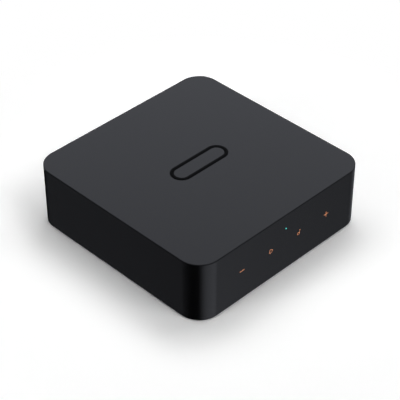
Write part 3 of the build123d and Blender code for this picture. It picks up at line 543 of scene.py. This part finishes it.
def makeFinish(name, colour, rough, grain, extras=None):
    look = {**lookDefaults, **(extras or {})}
    material = bpy.data.materials.new(name)
    material.use_nodes = True
    tree = material.node_tree
    shader = tree.nodes["Principled BSDF"]
    shader.inputs["Metallic"].default_value = look["metal"]
    shader.inputs["Transmission Weight"].default_value = look.get("clear", 0)
    shader.inputs["Specular IOR Level"].default_value = look.get("shine", 0.5)
    if "glow" in look:
        shader.inputs["Emission Color"].default_value = look["glow"][:3] + (1,)
        shader.inputs["Emission Strength"].default_value = look["glow"][3]
    place = tree.nodes.new("ShaderNodeTexCoord").outputs["Object"]
    drawn = tree.nodes.new("ShaderNodeMapping")
    drawn.inputs["Scale"].default_value = look["stretch"]
    link(tree, place, drawn.inputs["Vector"])
    fine = finePattern(tree, look["pattern"], drawn.outputs[0], grain)
    broad = tree.nodes.new("ShaderNodeTexNoise")
    broad.inputs["Scale"].default_value = 1 / (look["cloud"] * mm)
    link(tree, place, broad.inputs["Vector"])
    tint = tintRamp(tree, broad.outputs["Fac"], colour, look["spread"])
    if look["pattern"] in ("traces", "stripes"):
        paler = tree.nodes.new("ShaderNodeMix")
        paler.data_type = "RGBA"
        paler.blend_type = "SCREEN"
        link(tree, mathNode(tree, "MULTIPLY", fine, lineTint), paler.inputs["Factor"])
        link(tree, tint, paler.inputs["A"])
        link(tree, tint, paler.inputs["B"])
        tint = paler.outputs["Result"]
    link(tree, tint, shader.inputs["Base Color"])
    ends = rough * (1 - roughSpread), min(1, rough * (1 + roughSpread))
    link(tree, mapRange(tree, fine, (0.2, 0.8), ends, "LINEAR"), shader.inputs["Roughness"])
    relief = tree.nodes.new("ShaderNodeBump")
    relief.inputs["Strength"].default_value = look["bump"]
    relief.inputs["Distance"].default_value = reliefDepth
    link(tree, fine, relief.inputs["Height"])
    link(tree, relief.outputs[0], shader.inputs["Normal"])
    return material


materials = {name: makeFinish(name, *look) for name, look in looks.items()}
slotOf = {part["node"]: part["material_slot"] for part in frame["record"]["subparts"]}
for nodeName, node in frame["nodes"].items():
    node.data.materials.clear()
    node.data.materials.append(materials[slotOf[nodeName]])
print("finishes made")


# Housing: one shell, open below, with the rear window and the hole for the status light
housing = {
    "corner": 14 * mm, "cornerSteps": 28, "rim": 0.35 * mm, "rimSteps": 4,
    "skirt": 0.3 * mm, "edge": 1.4 * mm, "wall": 2.6 * mm, "roof": 2.6 * mm, "rebate": 2.0 * mm,
    "inset": 0.02 * mm,             # inside the CAD faces
    "seamDrop": 0.36 * mm, "seamWidth": 0.32 * mm, "seamDepth": 0.25 * mm,
    "windowOverlap": 1.5 * mm, "windowLip": 0.6 * mm,       # of the panel's flange behind the wall
    "windowRound": 2.5 * mm, "windowSteps": 10, "windowEdge": 0.25 * mm,
    "lightHole": 0.53 * mm,
}


def carveSeam(shell, top):  # a fine shadow line under the rim
    for drop in (housing["seamDrop"], housing["seamDrop"] + housing["seamWidth"]):
        openEdit(shell, "VERT")
        bpy.ops.mesh.bisect(plane_co=(0, 0, top - drop), plane_no=(0, 0, 1))
        leaveEdit()
    middle = top - housing["seamDrop"] - housing["seamWidth"] / 2
    half = housing["seamWidth"] / 2
    chooseFaces(shell, lambda c, n: abs(c.z - middle) < half and abs(n.z) < 1 - facing)
    bpy.ops.mesh.extrude_region_shrink_fatten(TRANSFORM_OT_shrink_fatten={"value": -housing["seamDepth"]})
    leaveEdit()


def buildHousing():
    low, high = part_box("top_housing")
    half = high.x - housing["inset"]
    bottom, top = low.z, high.z - housing["inset"]
    corner, steps = housing["corner"], housing["cornerSteps"]
    shell = addRoundedBox("housing_shell", (-half, -half, bottom), (half, half, top), corner, steps, alongZ)
    chooseFaces(shell, lambda c, n: n.z > facing)
    roundChosen(housing["rim"], housing["rimSteps"])
    chooseFaces(shell, lambda c, n: n.z < -facing)
    roundChosen(housing["skirt"])
    carveSeam(shell, top)
    chooseFaces(shell, lambda c, n: n.z < -facing and c.z < bottom + hair)
    bpy.ops.mesh.inset(thickness=housing["edge"] - housing["skirt"])
    pushUp(housing["rebate"])
    bpy.ops.mesh.inset(thickness=housing["wall"] - housing["edge"])
    pushUp(top - housing["roof"] - bottom - housing["rebate"])
    leaveEdit()
    cutWindow(shell, half)
    cutLightHole(shell, half)
    cutAway(shell, ovalGroove(top))
    dress(shell, "housing")
    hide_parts("top_housing")


def cutWindow(shell, half):
    low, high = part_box("rear_panel")
    right = high.x - housing["windowOverlap"]
    sill, head = low.z + housing["windowLip"], high.z - housing["windowLip"]
    start, end = (-right, half - 2 * housing["wall"], sill), (right, half + overrun, head)
    radius, steps = housing["windowRound"], housing["windowSteps"]
    cutAway(shell, addRoundedBox("cutter", start, end, radius, steps, alongY))

    def onRim(point):
        inside = abs(point.x) < right + hair and sill - hair < point.z < head + hair
        return inside and point.y > half - hair

    chooseEdges(shell, lambda a, b: onRim(a) and onRim(b))
    roundChosen(housing["windowEdge"], steps=2)


def cutLightHole(shell, half):
    radius = housing["lightHole"]
    cutter = turned("cutter", [(radius, -half - overrun), (radius, -half + 2 * housing["wall"])], sides=32)
    cutter.location = axisOf("status_light_pipe")
    cutAway(shell, settle(cutter))


# Inlay in the top face: a plain polished oval outline
inlay = {
    "length": 43.5 * mm, "width": 14.3 * mm, "stroke": 2.4 * mm, "arcSteps": 24,
    "gap": 0.06 * mm, "depth": 0.30 * mm, "crown": 0.22 * mm, "sunk": 0.01 * mm,
}


def ovalPath():  # centre line of the stroke
    points = []
    radius = (inlay["width"] - inlay["stroke"]) / 2
    straight = (inlay["length"] - inlay["width"]) / 2
    for end in (1, -1):
        for step in range(inlay["arcSteps"] + 1):
            angle = math.pi * (step / inlay["arcSteps"] - 0.5)
            points.append((end * (straight + radius * math.cos(angle)), end * radius * math.sin(angle), 0))
    return points + points[:1]


def ovalGroove(top):
    grows = (inlay["gap"], -inlay["stroke"] - inlay["gap"])
    sizes = [(inlay["length"] / 2 + grow, inlay["width"] / 2 + grow) for grow in grows]
    corners = [y - hair for x, y in sizes]
    return addRing("cutter", *sizes, corners, top - inlay["depth"], top + overrun, inlay["arcSteps"])


def strokeAlong(name, lines, width, steps=6):  # a round stroke along lines of points; equal ends make a loop
    curve = bpy.data.curves.new(name, "CURVE")
    curve.dimensions = "3D"
    curve.bevel_depth = width / 2
    curve.bevel_resolution = steps
    curve.use_fill_caps = True
    for points in lines:
        loop = points[0] == points[-1]
        points = points[:-1] if loop else points
        spline = curve.splines.new("POLY")
        spline.points.add(len(points) - 1)
        for knot, point in zip(spline.points, points):
            knot.co = (*point, 1)
        spline.use_cyclic_u = loop
    pick(addObject(name, curve))
    bpy.ops.object.convert(target="MESH")
    return sealed(nameIt(name))


def buildInlay():
    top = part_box("top_housing")[1].z
    band = strokeAlong("top_inlay", [ovalPath()], inlay["stroke"], steps=10)
    band.scale.z = inlay["crown"] / (inlay["stroke"] / 2)
    band.location.z = top - inlay["crown"] - inlay["sunk"]
    settle(band)
    dress(band, "housing", materials["inlay"], angle=60)


buildHousing()
buildInlay()
print("housing and inlay built")


# Signs of the touch keys, printed on the front wall and given a painted glow. Points are x and z from a key's
# middle
signs = {
    "lift": 0.015 * mm,
    "spacing": 24.0 * mm, "shift": (-0.45 * mm, -0.25 * mm),     # from the middle of the touch pads
    "line": 0.50 * mm,
    "fineLine": 0.34 * mm,
    "bar": 1.85 * mm,
    "triangle": (1.95 * mm, 0.4 * mm), "triangleSteps": 6,      # middle to corner, and the corner's radius
    "head": (-0.45 * mm, -0.75 * mm), "headSize": (0.85 * mm, 0.75 * mm), "headSteps": 24,
    "stem": (0.40 * mm, 1.95 * mm), "flag": (1.15 * mm, 1.25 * mm),
}


def keyPlaces(count):
    low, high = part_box("touch_pads")
    x, z = ((a + b) / 2 + shift for a, b, shift in zip(low.xz, high.xz, signs["shift"]))
    return [(x + place, z) for place in evenly(count, signs["spacing"])]


def roundedTriangle():
    reach, radius = signs["triangle"]
    points = []
    for corner in range(3):
        turn = corner * math.tau / 3
        centre = reach - 2 * radius
        for step in range(signs["triangleSteps"] + 1):
            angle = turn + (step / signs["triangleSteps"] - 0.5) * math.tau / 3
            points.append((
                centre * math.cos(turn) + radius * math.cos(angle),
                centre * math.sin(turn) + radius * math.sin(angle),
            ))
    return points + points[:1]


def noteLines():
    (x, z), (width, height) = signs["head"], signs["headSize"]
    turns = [math.tau * n / signs["headSteps"] for n in range(signs["headSteps"])]
    head = [(x + width * math.cos(turn), z + height * math.sin(turn)) for turn in turns]
    stemX, stemTop = signs["stem"]
    stemFoot = z + height / 8       # off the head's own points
    return [head + head[:1], [(stemX, stemFoot), (stemX, stemTop), signs["flag"]]]


def buildSigns():
    bar = signs["bar"]
    across, upright = [(-bar, 0), (bar, 0)], [(0, -bar), (0, bar)]
    shapes = [
        ("minus_sign", [across], signs["line"]),
        ("play_sign", [roundedTriangle()], signs["fineLine"]),
        ("note_sign", noteLines(), signs["fineLine"]),
        ("plus_sign", [across, upright], signs["line"]),
    ]
    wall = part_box("top_housing")[0].y
    for (name, lines, width), (x, z) in zip(shapes, keyPlaces(len(shapes))):
        sign = strokeAlong(name, [[(px, 0, pz) for px, pz in line] for line in lines], width)
        sign.scale.y = signs["lift"] / (width / 2)
        sign.location = (x, wall + signs["lift"], z)
        settle(sign)
        # orange print, with a painted glow in place of light on the front wall
        dress(sign, "housing", materials["iconInkWithPaintedGlow"], angle=60)


# Status light: a collar behind the wall and a stem through it, with a domed tip
statusLight = {
    "stem": 0.50 * mm,
    "tip": [(0.50 * mm, 0.30 * mm), (0.42 * mm, 0.06 * mm), (0.30 * mm, 0.01 * mm)],    # radius, set back
}


def buildStatusLight():
    low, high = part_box("status_light_pipe")
    collar, wall = (high.x - low.x) / 2, low.y + housing["wall"]
    tip = [(radius, low.y + back) for radius, back in statusLight["tip"]]
    foot = [(collar, high.y), (collar, wall), (statusLight["stem"], wall)]
    lens = turned("status_light", foot + tip, sides=32)
    lens.location = axisOf("status_light_pipe")
    settle(lens)
    dress(lens, "light_pipe", materials["statusGlow"])
    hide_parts("status_light_pipe")


buildSigns()
buildStatusLight()
print("signs and status light built")


# Rear panel, cut out for every socket
panel = {
    "clear": 0.2 * mm,              # round each socket
    "windowGap": 0.15 * mm,
    "flange": 1.6 * mm, "corner": 2.5 * mm, "cornerSteps": 8, "edge": 0.14 * mm,
    "screwHole": 1.1 * mm, "screwSeat": 1.95 * mm, "seatDepth": 1.2 * mm, "roundSteps": 12,
}
barrelNodes = ("line_in_barrels", "line_out_barrels", "coax_barrel")


def panelFace():
    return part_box("rear_panel")[1].y


def barrelRadius():
    low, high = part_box("coax_barrel")
    return (high.x - low.x) / 2


def boresOf(node):  # the axes of one barrel, or of two above each other, upper one first
    low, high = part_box(node)
    radius = (high.x - low.x) / 2
    places = [(low.x + radius, 0, high.z - radius), (low.x + radius, 0, low.z + radius)]
    return places if high.z - low.z > 3 * radius else places[:1]


def screwPlaces():
    low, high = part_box("panel_screws")
    radius = (high.z - low.z) / 2
    return [(x, 0, (low.z + high.z) / 2) for x in (low.x + radius, high.x - radius)]


def boreAt(places, radius, start, end):
    return copiesAt(turned("cutter", [(radius, start), (radius, end)]), places)


def blockAround(node, start, end, rounded=False):
    low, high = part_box(node)
    grow = panel["clear"]
    low, high = (low.x - grow, start, low.z - grow), (high.x + grow, end, high.z + grow)
    if rounded:
        return addRoundedBox("cutter", low, high, (high[2] - low[2]) / 2 - hair, panel["roundSteps"], alongY)
    return addBox("cutter", low, high)


def buildPanel():
    low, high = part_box("rear_panel")
    face, step = high.y, low.y + panel["flange"]
    corner, steps = panel["corner"], panel["cornerSteps"]
    plate = addRoundedBox("socket_panel", low, (high.x, step, high.z), corner, steps, alongY)
    right = high.x - housing["windowOverlap"] - panel["windowGap"]
    sill = low.z + housing["windowLip"] + panel["windowGap"]
    head = high.z - housing["windowLip"] - panel["windowGap"]
    corner -= panel["windowGap"]
    land = addRoundedBox("land", (-right, step - bury, sill), (right, face, head), corner, steps, alongY)
    fuseWith(plate, land)
    start, end = low.y - 2 * overrun, face + 2 * overrun
    phonos = [place for node in barrelNodes for place in boresOf(node)]
    cutters = [
        boreAt(phonos, barrelRadius() + panel["clear"], start, end),
        boreAt([axisOf("trigger_socket")], sockets["collar"] + panel["clear"], start, end),
        boreAt(screwPlaces(), panel["screwHole"], start, end),
        boreAt(screwPlaces(), panel["screwSeat"], face - panel["seatDepth"], end),
        blockAround("optical_out_body", start, end),
        blockAround("optical_in_body", start, end),
        blockAround("ethernet_shield", start, end),
        blockAround("usb_shell", start, end, rounded=True),
    ]
    for cutter in cutters:
        cutAway(plate, cutter)
    softened(plate, panel["edge"])
    dress(plate, "panel")
    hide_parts("rear_panel")


# Sockets. The phono profiles are radius, and distance from the panel's face or from the barrel's tip
sockets = {
    "collar": 2.8 * mm,
    "root": 3.9 * mm, "bore": 3.4 * mm,
    "lip": 0.28 * mm,
    "ring": (2.2 * mm, 2.7 * mm, 0.12 * mm),    # a turned groove: from, to, depth
    "insulatorDrop": 0.5 * mm, "insulatorStep": 2.75 * mm,
    "insulatorDip": 0.4 * mm, "insulatorEdge": 0.1 * mm,
    "pinOuter": 2.1 * mm, "pinBore": 1.6 * mm, "pinDrop": 0.8 * mm, "pinDepth": 7.0 * mm, "pinEdge": 0.2 * mm,
    "slit": 0.36 * mm, "slitDepth": 3.6 * mm,
    "gap": 0.03 * mm,
}


def barrelProfile(low, high):
    outer, lip = barrelRadius(), sockets["lip"]
    start, end, depth = sockets["ring"]
    face, bore = panelFace(), sockets["bore"]
    middle = (outer + bore) / 2
    return [
        (sockets["root"], low), (sockets["root"], face), (outer, face), (outer, face + start),
        (outer - depth, face + start + depth), (outer - depth, face + end - depth), (outer, face + end),
        (outer, high - lip), (outer - 0.1 * lip, high - 0.55 * lip), (outer - 0.4 * lip, high - 0.15 * lip),
        (outer - 0.8 * lip, high), (middle - 0.1 * lip, high), (bore + 0.1 * lip, high - 0.4 * lip),
        (bore, high - lip), (bore, low),
    ]


def insulatorProfile(low, high):
    outer, inner = sockets["bore"] - sockets["gap"], sockets["pinOuter"] + sockets["gap"]
    top, dip = high - sockets["insulatorDrop"], sockets["insulatorDip"]
    step, edge = sockets["insulatorStep"], sockets["insulatorEdge"]
    return [
        (outer, low), (outer, top - edge), (outer - edge, top), (step, top), (step - 1.2 * edge, top - edge),
        (step - 1.2 * edge, top - dip), (inner, top - dip), (inner, low),
    ]


def pinProfile(low, high):
    outer, bore, edge = sockets["pinOuter"], sockets["pinBore"], sockets["pinEdge"]
    top = high - sockets["pinDrop"]
    floor = top - sockets["pinDepth"]
    return [
        (outer, low), (outer, top - edge), (outer - 0.4 * edge, top - 0.3 * edge), (outer - 1.1 * edge, top),
        (bore + 0.5 * edge, top), (bore, top - 0.6 * edge), (bore, floor), (edge, floor),
    ]


def buildPhonos():
    low, high = (corner.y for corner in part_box("coax_barrel"))
    upper, lower = zip(boresOf("line_in_barrels"), boresOf("line_out_barrels"))
    coax = boresOf("coax_barrel")
    for node in barrelNodes:
        tube = copiesAt(turned(node + "_turned", barrelProfile(low, high), tube=True), boresOf(node))
        dress(tube, "gold_contact")
        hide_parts(node)
    for node, places in (("left_insulators", upper), ("right_insulators", lower), ("coax_insulator", coax)):
        ring = copiesAt(turned(node + "_moulded", insulatorProfile(low, high), tube=True), places)
        dress(ring, slotOf[node])
        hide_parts(node)
    pin = turned("phono_contacts_slit", pinProfile(low, high))
    top, half = high - sockets["pinDrop"], sockets["slit"] / 2
    floor, wide = top - sockets["slitDepth"], 2 * sockets["pinOuter"]
    for across, up in ((wide, half), (half, wide)):
        cutAway(pin, addBox("cutter", (-across, floor, -up), (across, top + overrun, up)))
    pins = copiesAt(pin, [*upper, *lower, *coax])
    dress(pins, "gold_contact")
    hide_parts("phono_contacts")


# Cross-head screws: a domed head on its seat and a plain shank. Shares are of the head's height or radius
screw = {
    "domeShare": 0.6, "crossDepthShare": 0.55, "crossWidthShare": 0.15, "crossReachShare": 0.58,
    "dome": [(0.94, 0.6), (0.78, 0.25), (0.55, 0.06), (0.3, 0)],    # of the radius; of the dome, from its top
    "tip": (0.7, 0.3),              # of the shank's radius: the tip's own, and its length
    "panelHeight": 1.2 * mm, "panelShank": 0.85 * mm, "panelLength": 5.5 * mm,
    "housingHead": 2.5 * mm, "housingHeight": 1.1 * mm, "housingShank": 1.2 * mm, "housingLength": 8 * mm,
}


def crossScrew(name, head, height, shank, length):  # the head rises along +Y from its seat at 0
    dome = screw["domeShare"] * height
    narrow, taper = (share * shank for share in screw["tip"])
    profile = [(narrow, -length), (shank, -length + taper), (shank, 0), (head, 0), (head, height - dome)]
    profile += [(wide * head, height - drop * dome) for wide, drop in screw["dome"]]
    body = turned(name, profile, sides=40)
    reach, half = screw["crossReachShare"] * head, screw["crossWidthShare"] * head
    depth = screw["crossDepthShare"] * height
    for across, up in ((reach, half), (half, reach)):
        cutAway(body, addBox("cutter", (-across, height - depth, -up), (across, height + head, up)))
    return body


def buildScrews():
    low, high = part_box("panel_screws")
    head = (high.z - low.z) / 2
    height, shank, length = screw["panelHeight"], screw["panelShank"], screw["panelLength"]
    body = crossScrew("panel_screws_cross", head, height, shank, length)
    seat = panelFace() - panel["seatDepth"]
    screws = copiesAt(body, [(x, seat, z) for x, y, z in screwPlaces()])
    dress(screws, "screw_steel")
    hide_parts("panel_screws")
    low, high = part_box("housing_screws")
    head, height = screw["housingHead"], screw["housingHeight"]
    body = crossScrew("housing_screws_cross", head, height, screw["housingShank"], screw["housingLength"])
    body.rotation_euler = (-math.pi / 2, 0, 0)
    settle(body)
    screws = copiesAt(body, fourCorners(high.x - head, low.z + height))
    dress(screws, "screw_steel")
    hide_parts("housing_screws")


buildPanel()
buildPhonos()
buildScrews()
print("rear panel, phono sockets and screws built")


# Optical sockets: a hollow case with two bevelled corners, and the sprung flap behind its frame
optics = {
    "wall": 0.8 * mm, "floor": 1.0 * mm, "frame": 0.8 * mm, "step": 0.2 * mm, "key": 1.5 * mm,
    "opening": 8.2 * mm, "back": 4.4 * mm, "ferrule": 1.3 * mm, "module": 1.8 * mm, "pin": 0.4 * mm,
    "room": 0.03 * mm, "caseEdge": 0.16 * mm,
    "frameCut": 0.1 * mm,                   # by which the opening's cutter runs into the room behind
    "flap": 0.8 * mm, "flapEdge": 0.09 * mm, "knuckle": 0.85 * mm, "pinRoom": 0.05 * mm,
    "notch": (0.94 * mm, 0.78 * mm),        # half width, and depth below the pin
}


def keyedBlock(name, x, width, low, high):  # low and high are y, z; the two lower edges are bevelled
    block = addBox(name, (x - width / 2, *low), (x + width / 2, *high))
    chooseEdges(block, lambda a, b: max(a.z, b.z) < low[1] + hair and abs(a.y - b.y) > hair)
    roundChosen(optics["key"])
    return block


def crossRod(name, radius, start, end):  # along the shutters' pin
    pin = middleOf("shutter_pins")
    low, high = (start, pin.y - radius, pin.z - radius), (end, pin.y + radius, pin.z + radius)
    return addRoundedBox(name, low, high, radius - hair, pinSteps, alongX)


def buildOpticalCase(socket):
    low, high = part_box(socket + "_body")
    x, room = (low.x + high.x) / 2, optics["room"]
    floor, roof = low.z + optics["floor"], high.z - optics["wall"]
    end, frameBack = low.y + optics["back"], high.y - optics["frame"]
    width = high.x - low.x - 2 * optics["wall"]
    sill = floor + optics["step"]
    head = sill + optics["opening"]
    case = addBox(socket + "_case", low, high)
    cutAway(case, keyedBlock("cutter", x, width, (end, floor), (frameBack, roof)))
    width -= 2 * optics["step"]
    start = frameBack - optics["frameCut"]
    cutAway(case, keyedBlock("cutter", x, width, (start, sill), (high.y + overrun, head)))
    softened(case, optics["caseEdge"])
    radius, start = optics["ferrule"], low.y + optics["module"] - overrun
    bore = turned("cutter", [(radius, start), (radius, end + overrun)], sides=32)
    bore.location = (x, 0, (sill + head) / 2)
    cutAway(case, settle(bore))
    moduleLow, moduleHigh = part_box(socket + "_module")
    cutAway(case, addBox(
        "cutter", (moduleLow.x - room, low.y - overrun, moduleLow.z - room),
        (moduleHigh.x + room, low.y + optics["module"], moduleHigh.z + room),
    ))
    cutAway(case, crossRod("cutter", optics["pin"] + room, low.x - overrun, high.x + overrun))
    dress(case, "black_moulding")
    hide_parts(socket + "_body")


def buildOpticalFlap(socket):
    low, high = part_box(socket + "_shutter")
    x, back, top = (low.x + high.x) / 2, high.y - optics["flap"], middleOf("shutter_pins").z
    flap = keyedBlock(socket + "_flap_plate", x, high.x - low.x, (back, low.z), (high.y, top))
    softened(flap, optics["flapEdge"])
    knuckle = crossRod("knuckle", optics["knuckle"], low.x, high.x)
    fuseWith(flap, softened(knuckle, optics["flapEdge"]))
    cutAway(flap, crossRod("cutter", optics["pin"] + optics["pinRoom"], low.x - overrun, high.x + overrun))
    half, drop = optics["notch"]
    start = (x - half, low.y - overrun, top - drop)
    cutAway(flap, addBox("cutter", start, (x + half, high.y + overrun, high.z + overrun)))
    sealed(flap)
    dress(flap, "shutter_plastic", body=socket + "_flap")
    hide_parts(socket + "_shutter")


# Network, trigger and power sockets
jacks = {
    "sheet": 0.3 * mm, "shieldCorner": (0.45 * mm, 0.15 * mm), "shieldSteps": (5, 4), "edge": 0.08 * mm,
    "port": [       # width, floor and roof of the plug's room, its shoulder and the latch's room
        (11.8 * mm, 10.6 * mm, 17.5 * mm), (6.0 * mm, 9.1 * mm, 10.7 * mm), (3.2 * mm, 7.9 * mm, 9.2 * mm),
    ],
    "portDepth": 15 * mm, "portStep": 1 * mm, "portEdge": 0.16 * mm,
    "pipeWidth": 2.6 * mm, "pipeRoom": 0.03 * mm, "pipeEdge": 0.18 * mm,
    "jackBore": 1.8 * mm, "jackDepth": 13 * mm, "jackEdge": 0.22 * mm,
    "powerSheet": 0.31 * mm, "powerSteps": 12, "powerBack": 1.8 * mm,
    "tongue": (6.7 * mm, 0.7 * mm), "tongueEdge": 0.12 * mm,        # width, thickness
    "strip": (0.26 * mm, 5.0 * mm, 0.04 * mm), "stripPitch": 0.5 * mm, "strips": 12, "stripSet": 0.5 * mm,
}


def buildNetworkSocket():
    low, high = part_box("ethernet_shield")
    outer, inner = zip(jacks["shieldCorner"], jacks["shieldSteps"])
    shield = addRoundedBox("network_shield", low, high, *outer, alongY)
    inside = spread(low, high, -jacks["sheet"], overrun)
    cutAway(shield, addRoundedBox("cutter", *inside, *inner, alongY))
    softened(shield, jacks["edge"], angle=50)
    dress(shield, "sheet_steel")
    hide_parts("ethernet_shield")

    middle = (low.x + high.x) / 2
    low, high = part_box("ethernet_insert")
    insert = addBox("network_insert", low, high)
    for n, (width, floor, roof) in enumerate(jacks["port"]):
        start = (middle - width / 2, high.y - jacks["portDepth"] + n * jacks["portStep"], floor)
        cutAway(insert, addBox("cutter", start, (middle + width / 2, high.y + overrun, roof)))
    softened(insert, jacks["portEdge"])
    pipes = []
    room = jacks["pipeRoom"]
    low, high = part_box("ethernet_light_pipes")
    for left in (low.x, high.x - jacks["pipeWidth"]):
        right = left + jacks["pipeWidth"]
        notch = (left - room, low.y - room, low.z - room), (right + room, high.y + overrun, high.z + room)
        cutAway(insert, addBox("cutter", *notch))
        pipes.append(addBox("pipe", (left, low.y, low.z), (right, high.y, high.z)))
    dress(insert, "black_moulding")
    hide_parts("ethernet_insert")
    lights = softened(joined(pipes, "network_lights"), jacks["pipeEdge"], steps=3)
    dress(lights, "light_pipe")
    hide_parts("ethernet_light_pipes")


def buildTriggerSocket():
    low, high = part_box("trigger_socket")
    back, tip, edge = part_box("rear_panel")[0].y, high.y, jacks["jackEdge"]
    block = softened(addBox("trigger_jack", low, (high.x, back, high.z)), edge)
    collar, bore = sockets["collar"], jacks["jackBore"]
    over = 0.3 * edge
    ring = turned("collar", [
        (collar, back - bury), (collar, tip - edge), (collar - over, tip - over), (collar - edge, tip),
    ], sides=48)
    floor = tip - jacks["jackDepth"]
    hole = turned("cutter", [(bore, floor), (bore, tip - edge), (bore + edge + over, tip + over)], sides=48)
    for obj in (ring, hole):
        obj.location = axisOf("trigger_socket")
        settle(obj)
    fuseWith(block, ring)
    cutAway(block, hole)
    dress(block, "black_moulding")
    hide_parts("trigger_socket")


def buildPowerSocket():
    low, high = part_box("usb_shell")
    middle, radius = (low + high) / 2, (high.z - low.z) / 2 - hair
    wall, steps = jacks["powerSheet"], jacks["powerSteps"]
    shell = addRoundedBox("power_shell", low, high, radius, steps, alongY)
    inside = spread(low, high, -wall, overrun)
    cutAway(shell, addRoundedBox("cutter", *inside, radius - wall, steps, alongY))
    softened(shell, jacks["edge"], steps=3, angle=50)
    dress(shell, "sheet_steel")
    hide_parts("usb_shell")

    low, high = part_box("usb_tongue")
    width, thickness = jacks["tongue"]
    back = (high.x, low.y + jacks["powerBack"], high.z)
    base = addRoundedBox("power_tongue", low, back, (high.z - low.z) / 2 - hair, steps, alongY)
    start = (middle.x - width / 2, low.y + bury, middle.z - thickness / 2)
    blade = addBox("blade", start, (middle.x + width / 2, high.y, middle.z + thickness / 2))
    softened(blade, jacks["tongueEdge"], steps=3)
    fuseWith(base, blade)
    dress(base, "black_moulding")
    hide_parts("usb_tongue")

    across, length, proud = jacks["strip"]
    strip = addBox("power_contacts", (-across / 2, -length, -proud / 2), (across / 2, 0, proud / 2))
    places = [
        (middle.x + x, high.y - jacks["stripSet"], middle.z + side)
        for x in evenly(jacks["strips"], jacks["stripPitch"]) for side in (-thickness / 2, thickness / 2)
    ]
    dress(copiesAt(strip, places), "gold_contact")


# Underside: the cover with its vents and screw seats, and the rubber foot in its groove
under = {
    "plate": 2 * mm, "corner": 12.45 * mm, "cornerSteps": 20, "edge": 0.18 * mm,
    "vents": 9, "ventPlace": 46.45 * mm, "ventPitch": 7 * mm,
    "ventLength": 10 * mm, "ventWidth": 2 * mm, "ventSteps": 6,
    "screwHole": 1.45 * mm, "screwSeat": 2.75 * mm, "seatDepth": 1.2 * mm,
    "footWidth": 5 * mm, "footCorner": 22 * mm, "footEdge": 0.35 * mm, "slack": 0.15 * mm,
    "fence": (39.6 * mm, 38.6 * mm), "fenceCorners": (4 * mm, 3 * mm), "fenceSteps": 6,
}


def roundCutters(places, radius, low, high):
    start, end = (-radius, -radius, low), (radius, radius, high)
    peg = addRoundedBox("cutter", start, end, radius - hair, pinSteps, alongZ)
    return copiesAt(peg, places)


def buildCover():
    low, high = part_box("bottom_cover")
    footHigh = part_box("foot_ring")[1]
    top, slack, below = low.z + under["plate"], under["slack"], low.z - overrun
    steps = under["cornerSteps"]
    plate = addRoundedBox("vented_cover", low, (high.x, high.y, top), under["corner"], steps, alongZ)
    outer, inner = ((half, half) for half in under["fence"])
    corners, steps = under["fenceCorners"], under["fenceSteps"]
    fuseWith(plate, addRing("fence", outer, inner, corners, top - bury, high.z, steps))
    length, width, steps = under["ventLength"] / 2, under["ventWidth"] / 2, under["ventSteps"]
    start, end = (-length, -width, below), (length, width, top + overrun)
    vent = addRoundedBox("cutter", start, end, width - hair, steps, alongZ)
    rows = evenly(under["vents"], under["ventPitch"])
    cutAway(plate, copiesAt(vent, [(x * under["ventPlace"], y, 0) for x in (-1, 1) for y in rows]))
    corners = fourCorners(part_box("housing_screws")[1].x - screw["housingHead"])
    cutAway(plate, roundCutters(corners, under["screwHole"], below, top + overrun))
    cutAway(plate, roundCutters(corners, under["screwSeat"], below, low.z + under["seatDepth"]))
    outer, inner = footHigh.x + slack, footHigh.x - under["footWidth"] - slack
    rounds = (under["footCorner"] + slack, under["footCorner"] - under["footWidth"] - slack)
    cutAway(plate, addRing("cutter", (outer, outer), (inner, inner), rounds, below, footHigh.z))
    softened(plate, under["edge"])
    dress(plate, "cover")
    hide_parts("bottom_cover")


def buildFoot():
    low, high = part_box("foot_ring")
    outer, inner = high.x, high.x - under["footWidth"]
    rounds = (under["footCorner"], under["footCorner"] - under["footWidth"])
    foot = addRing("rubber_foot", (outer, outer), (inner, inner), rounds, low.z, high.z)
    softened(foot, under["footEdge"], steps=4)
    dress(foot, "foot_rubber")
    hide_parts("foot_ring")


for socket in ("optical_out", "optical_in"):
    buildOpticalCase(socket)
    buildOpticalFlap(socket)
print("optical sockets built")
buildNetworkSocket()
buildTriggerSocket()
buildPowerSocket()
print("network, trigger and power sockets built")
buildCover()
buildFoot()
print("underside built")
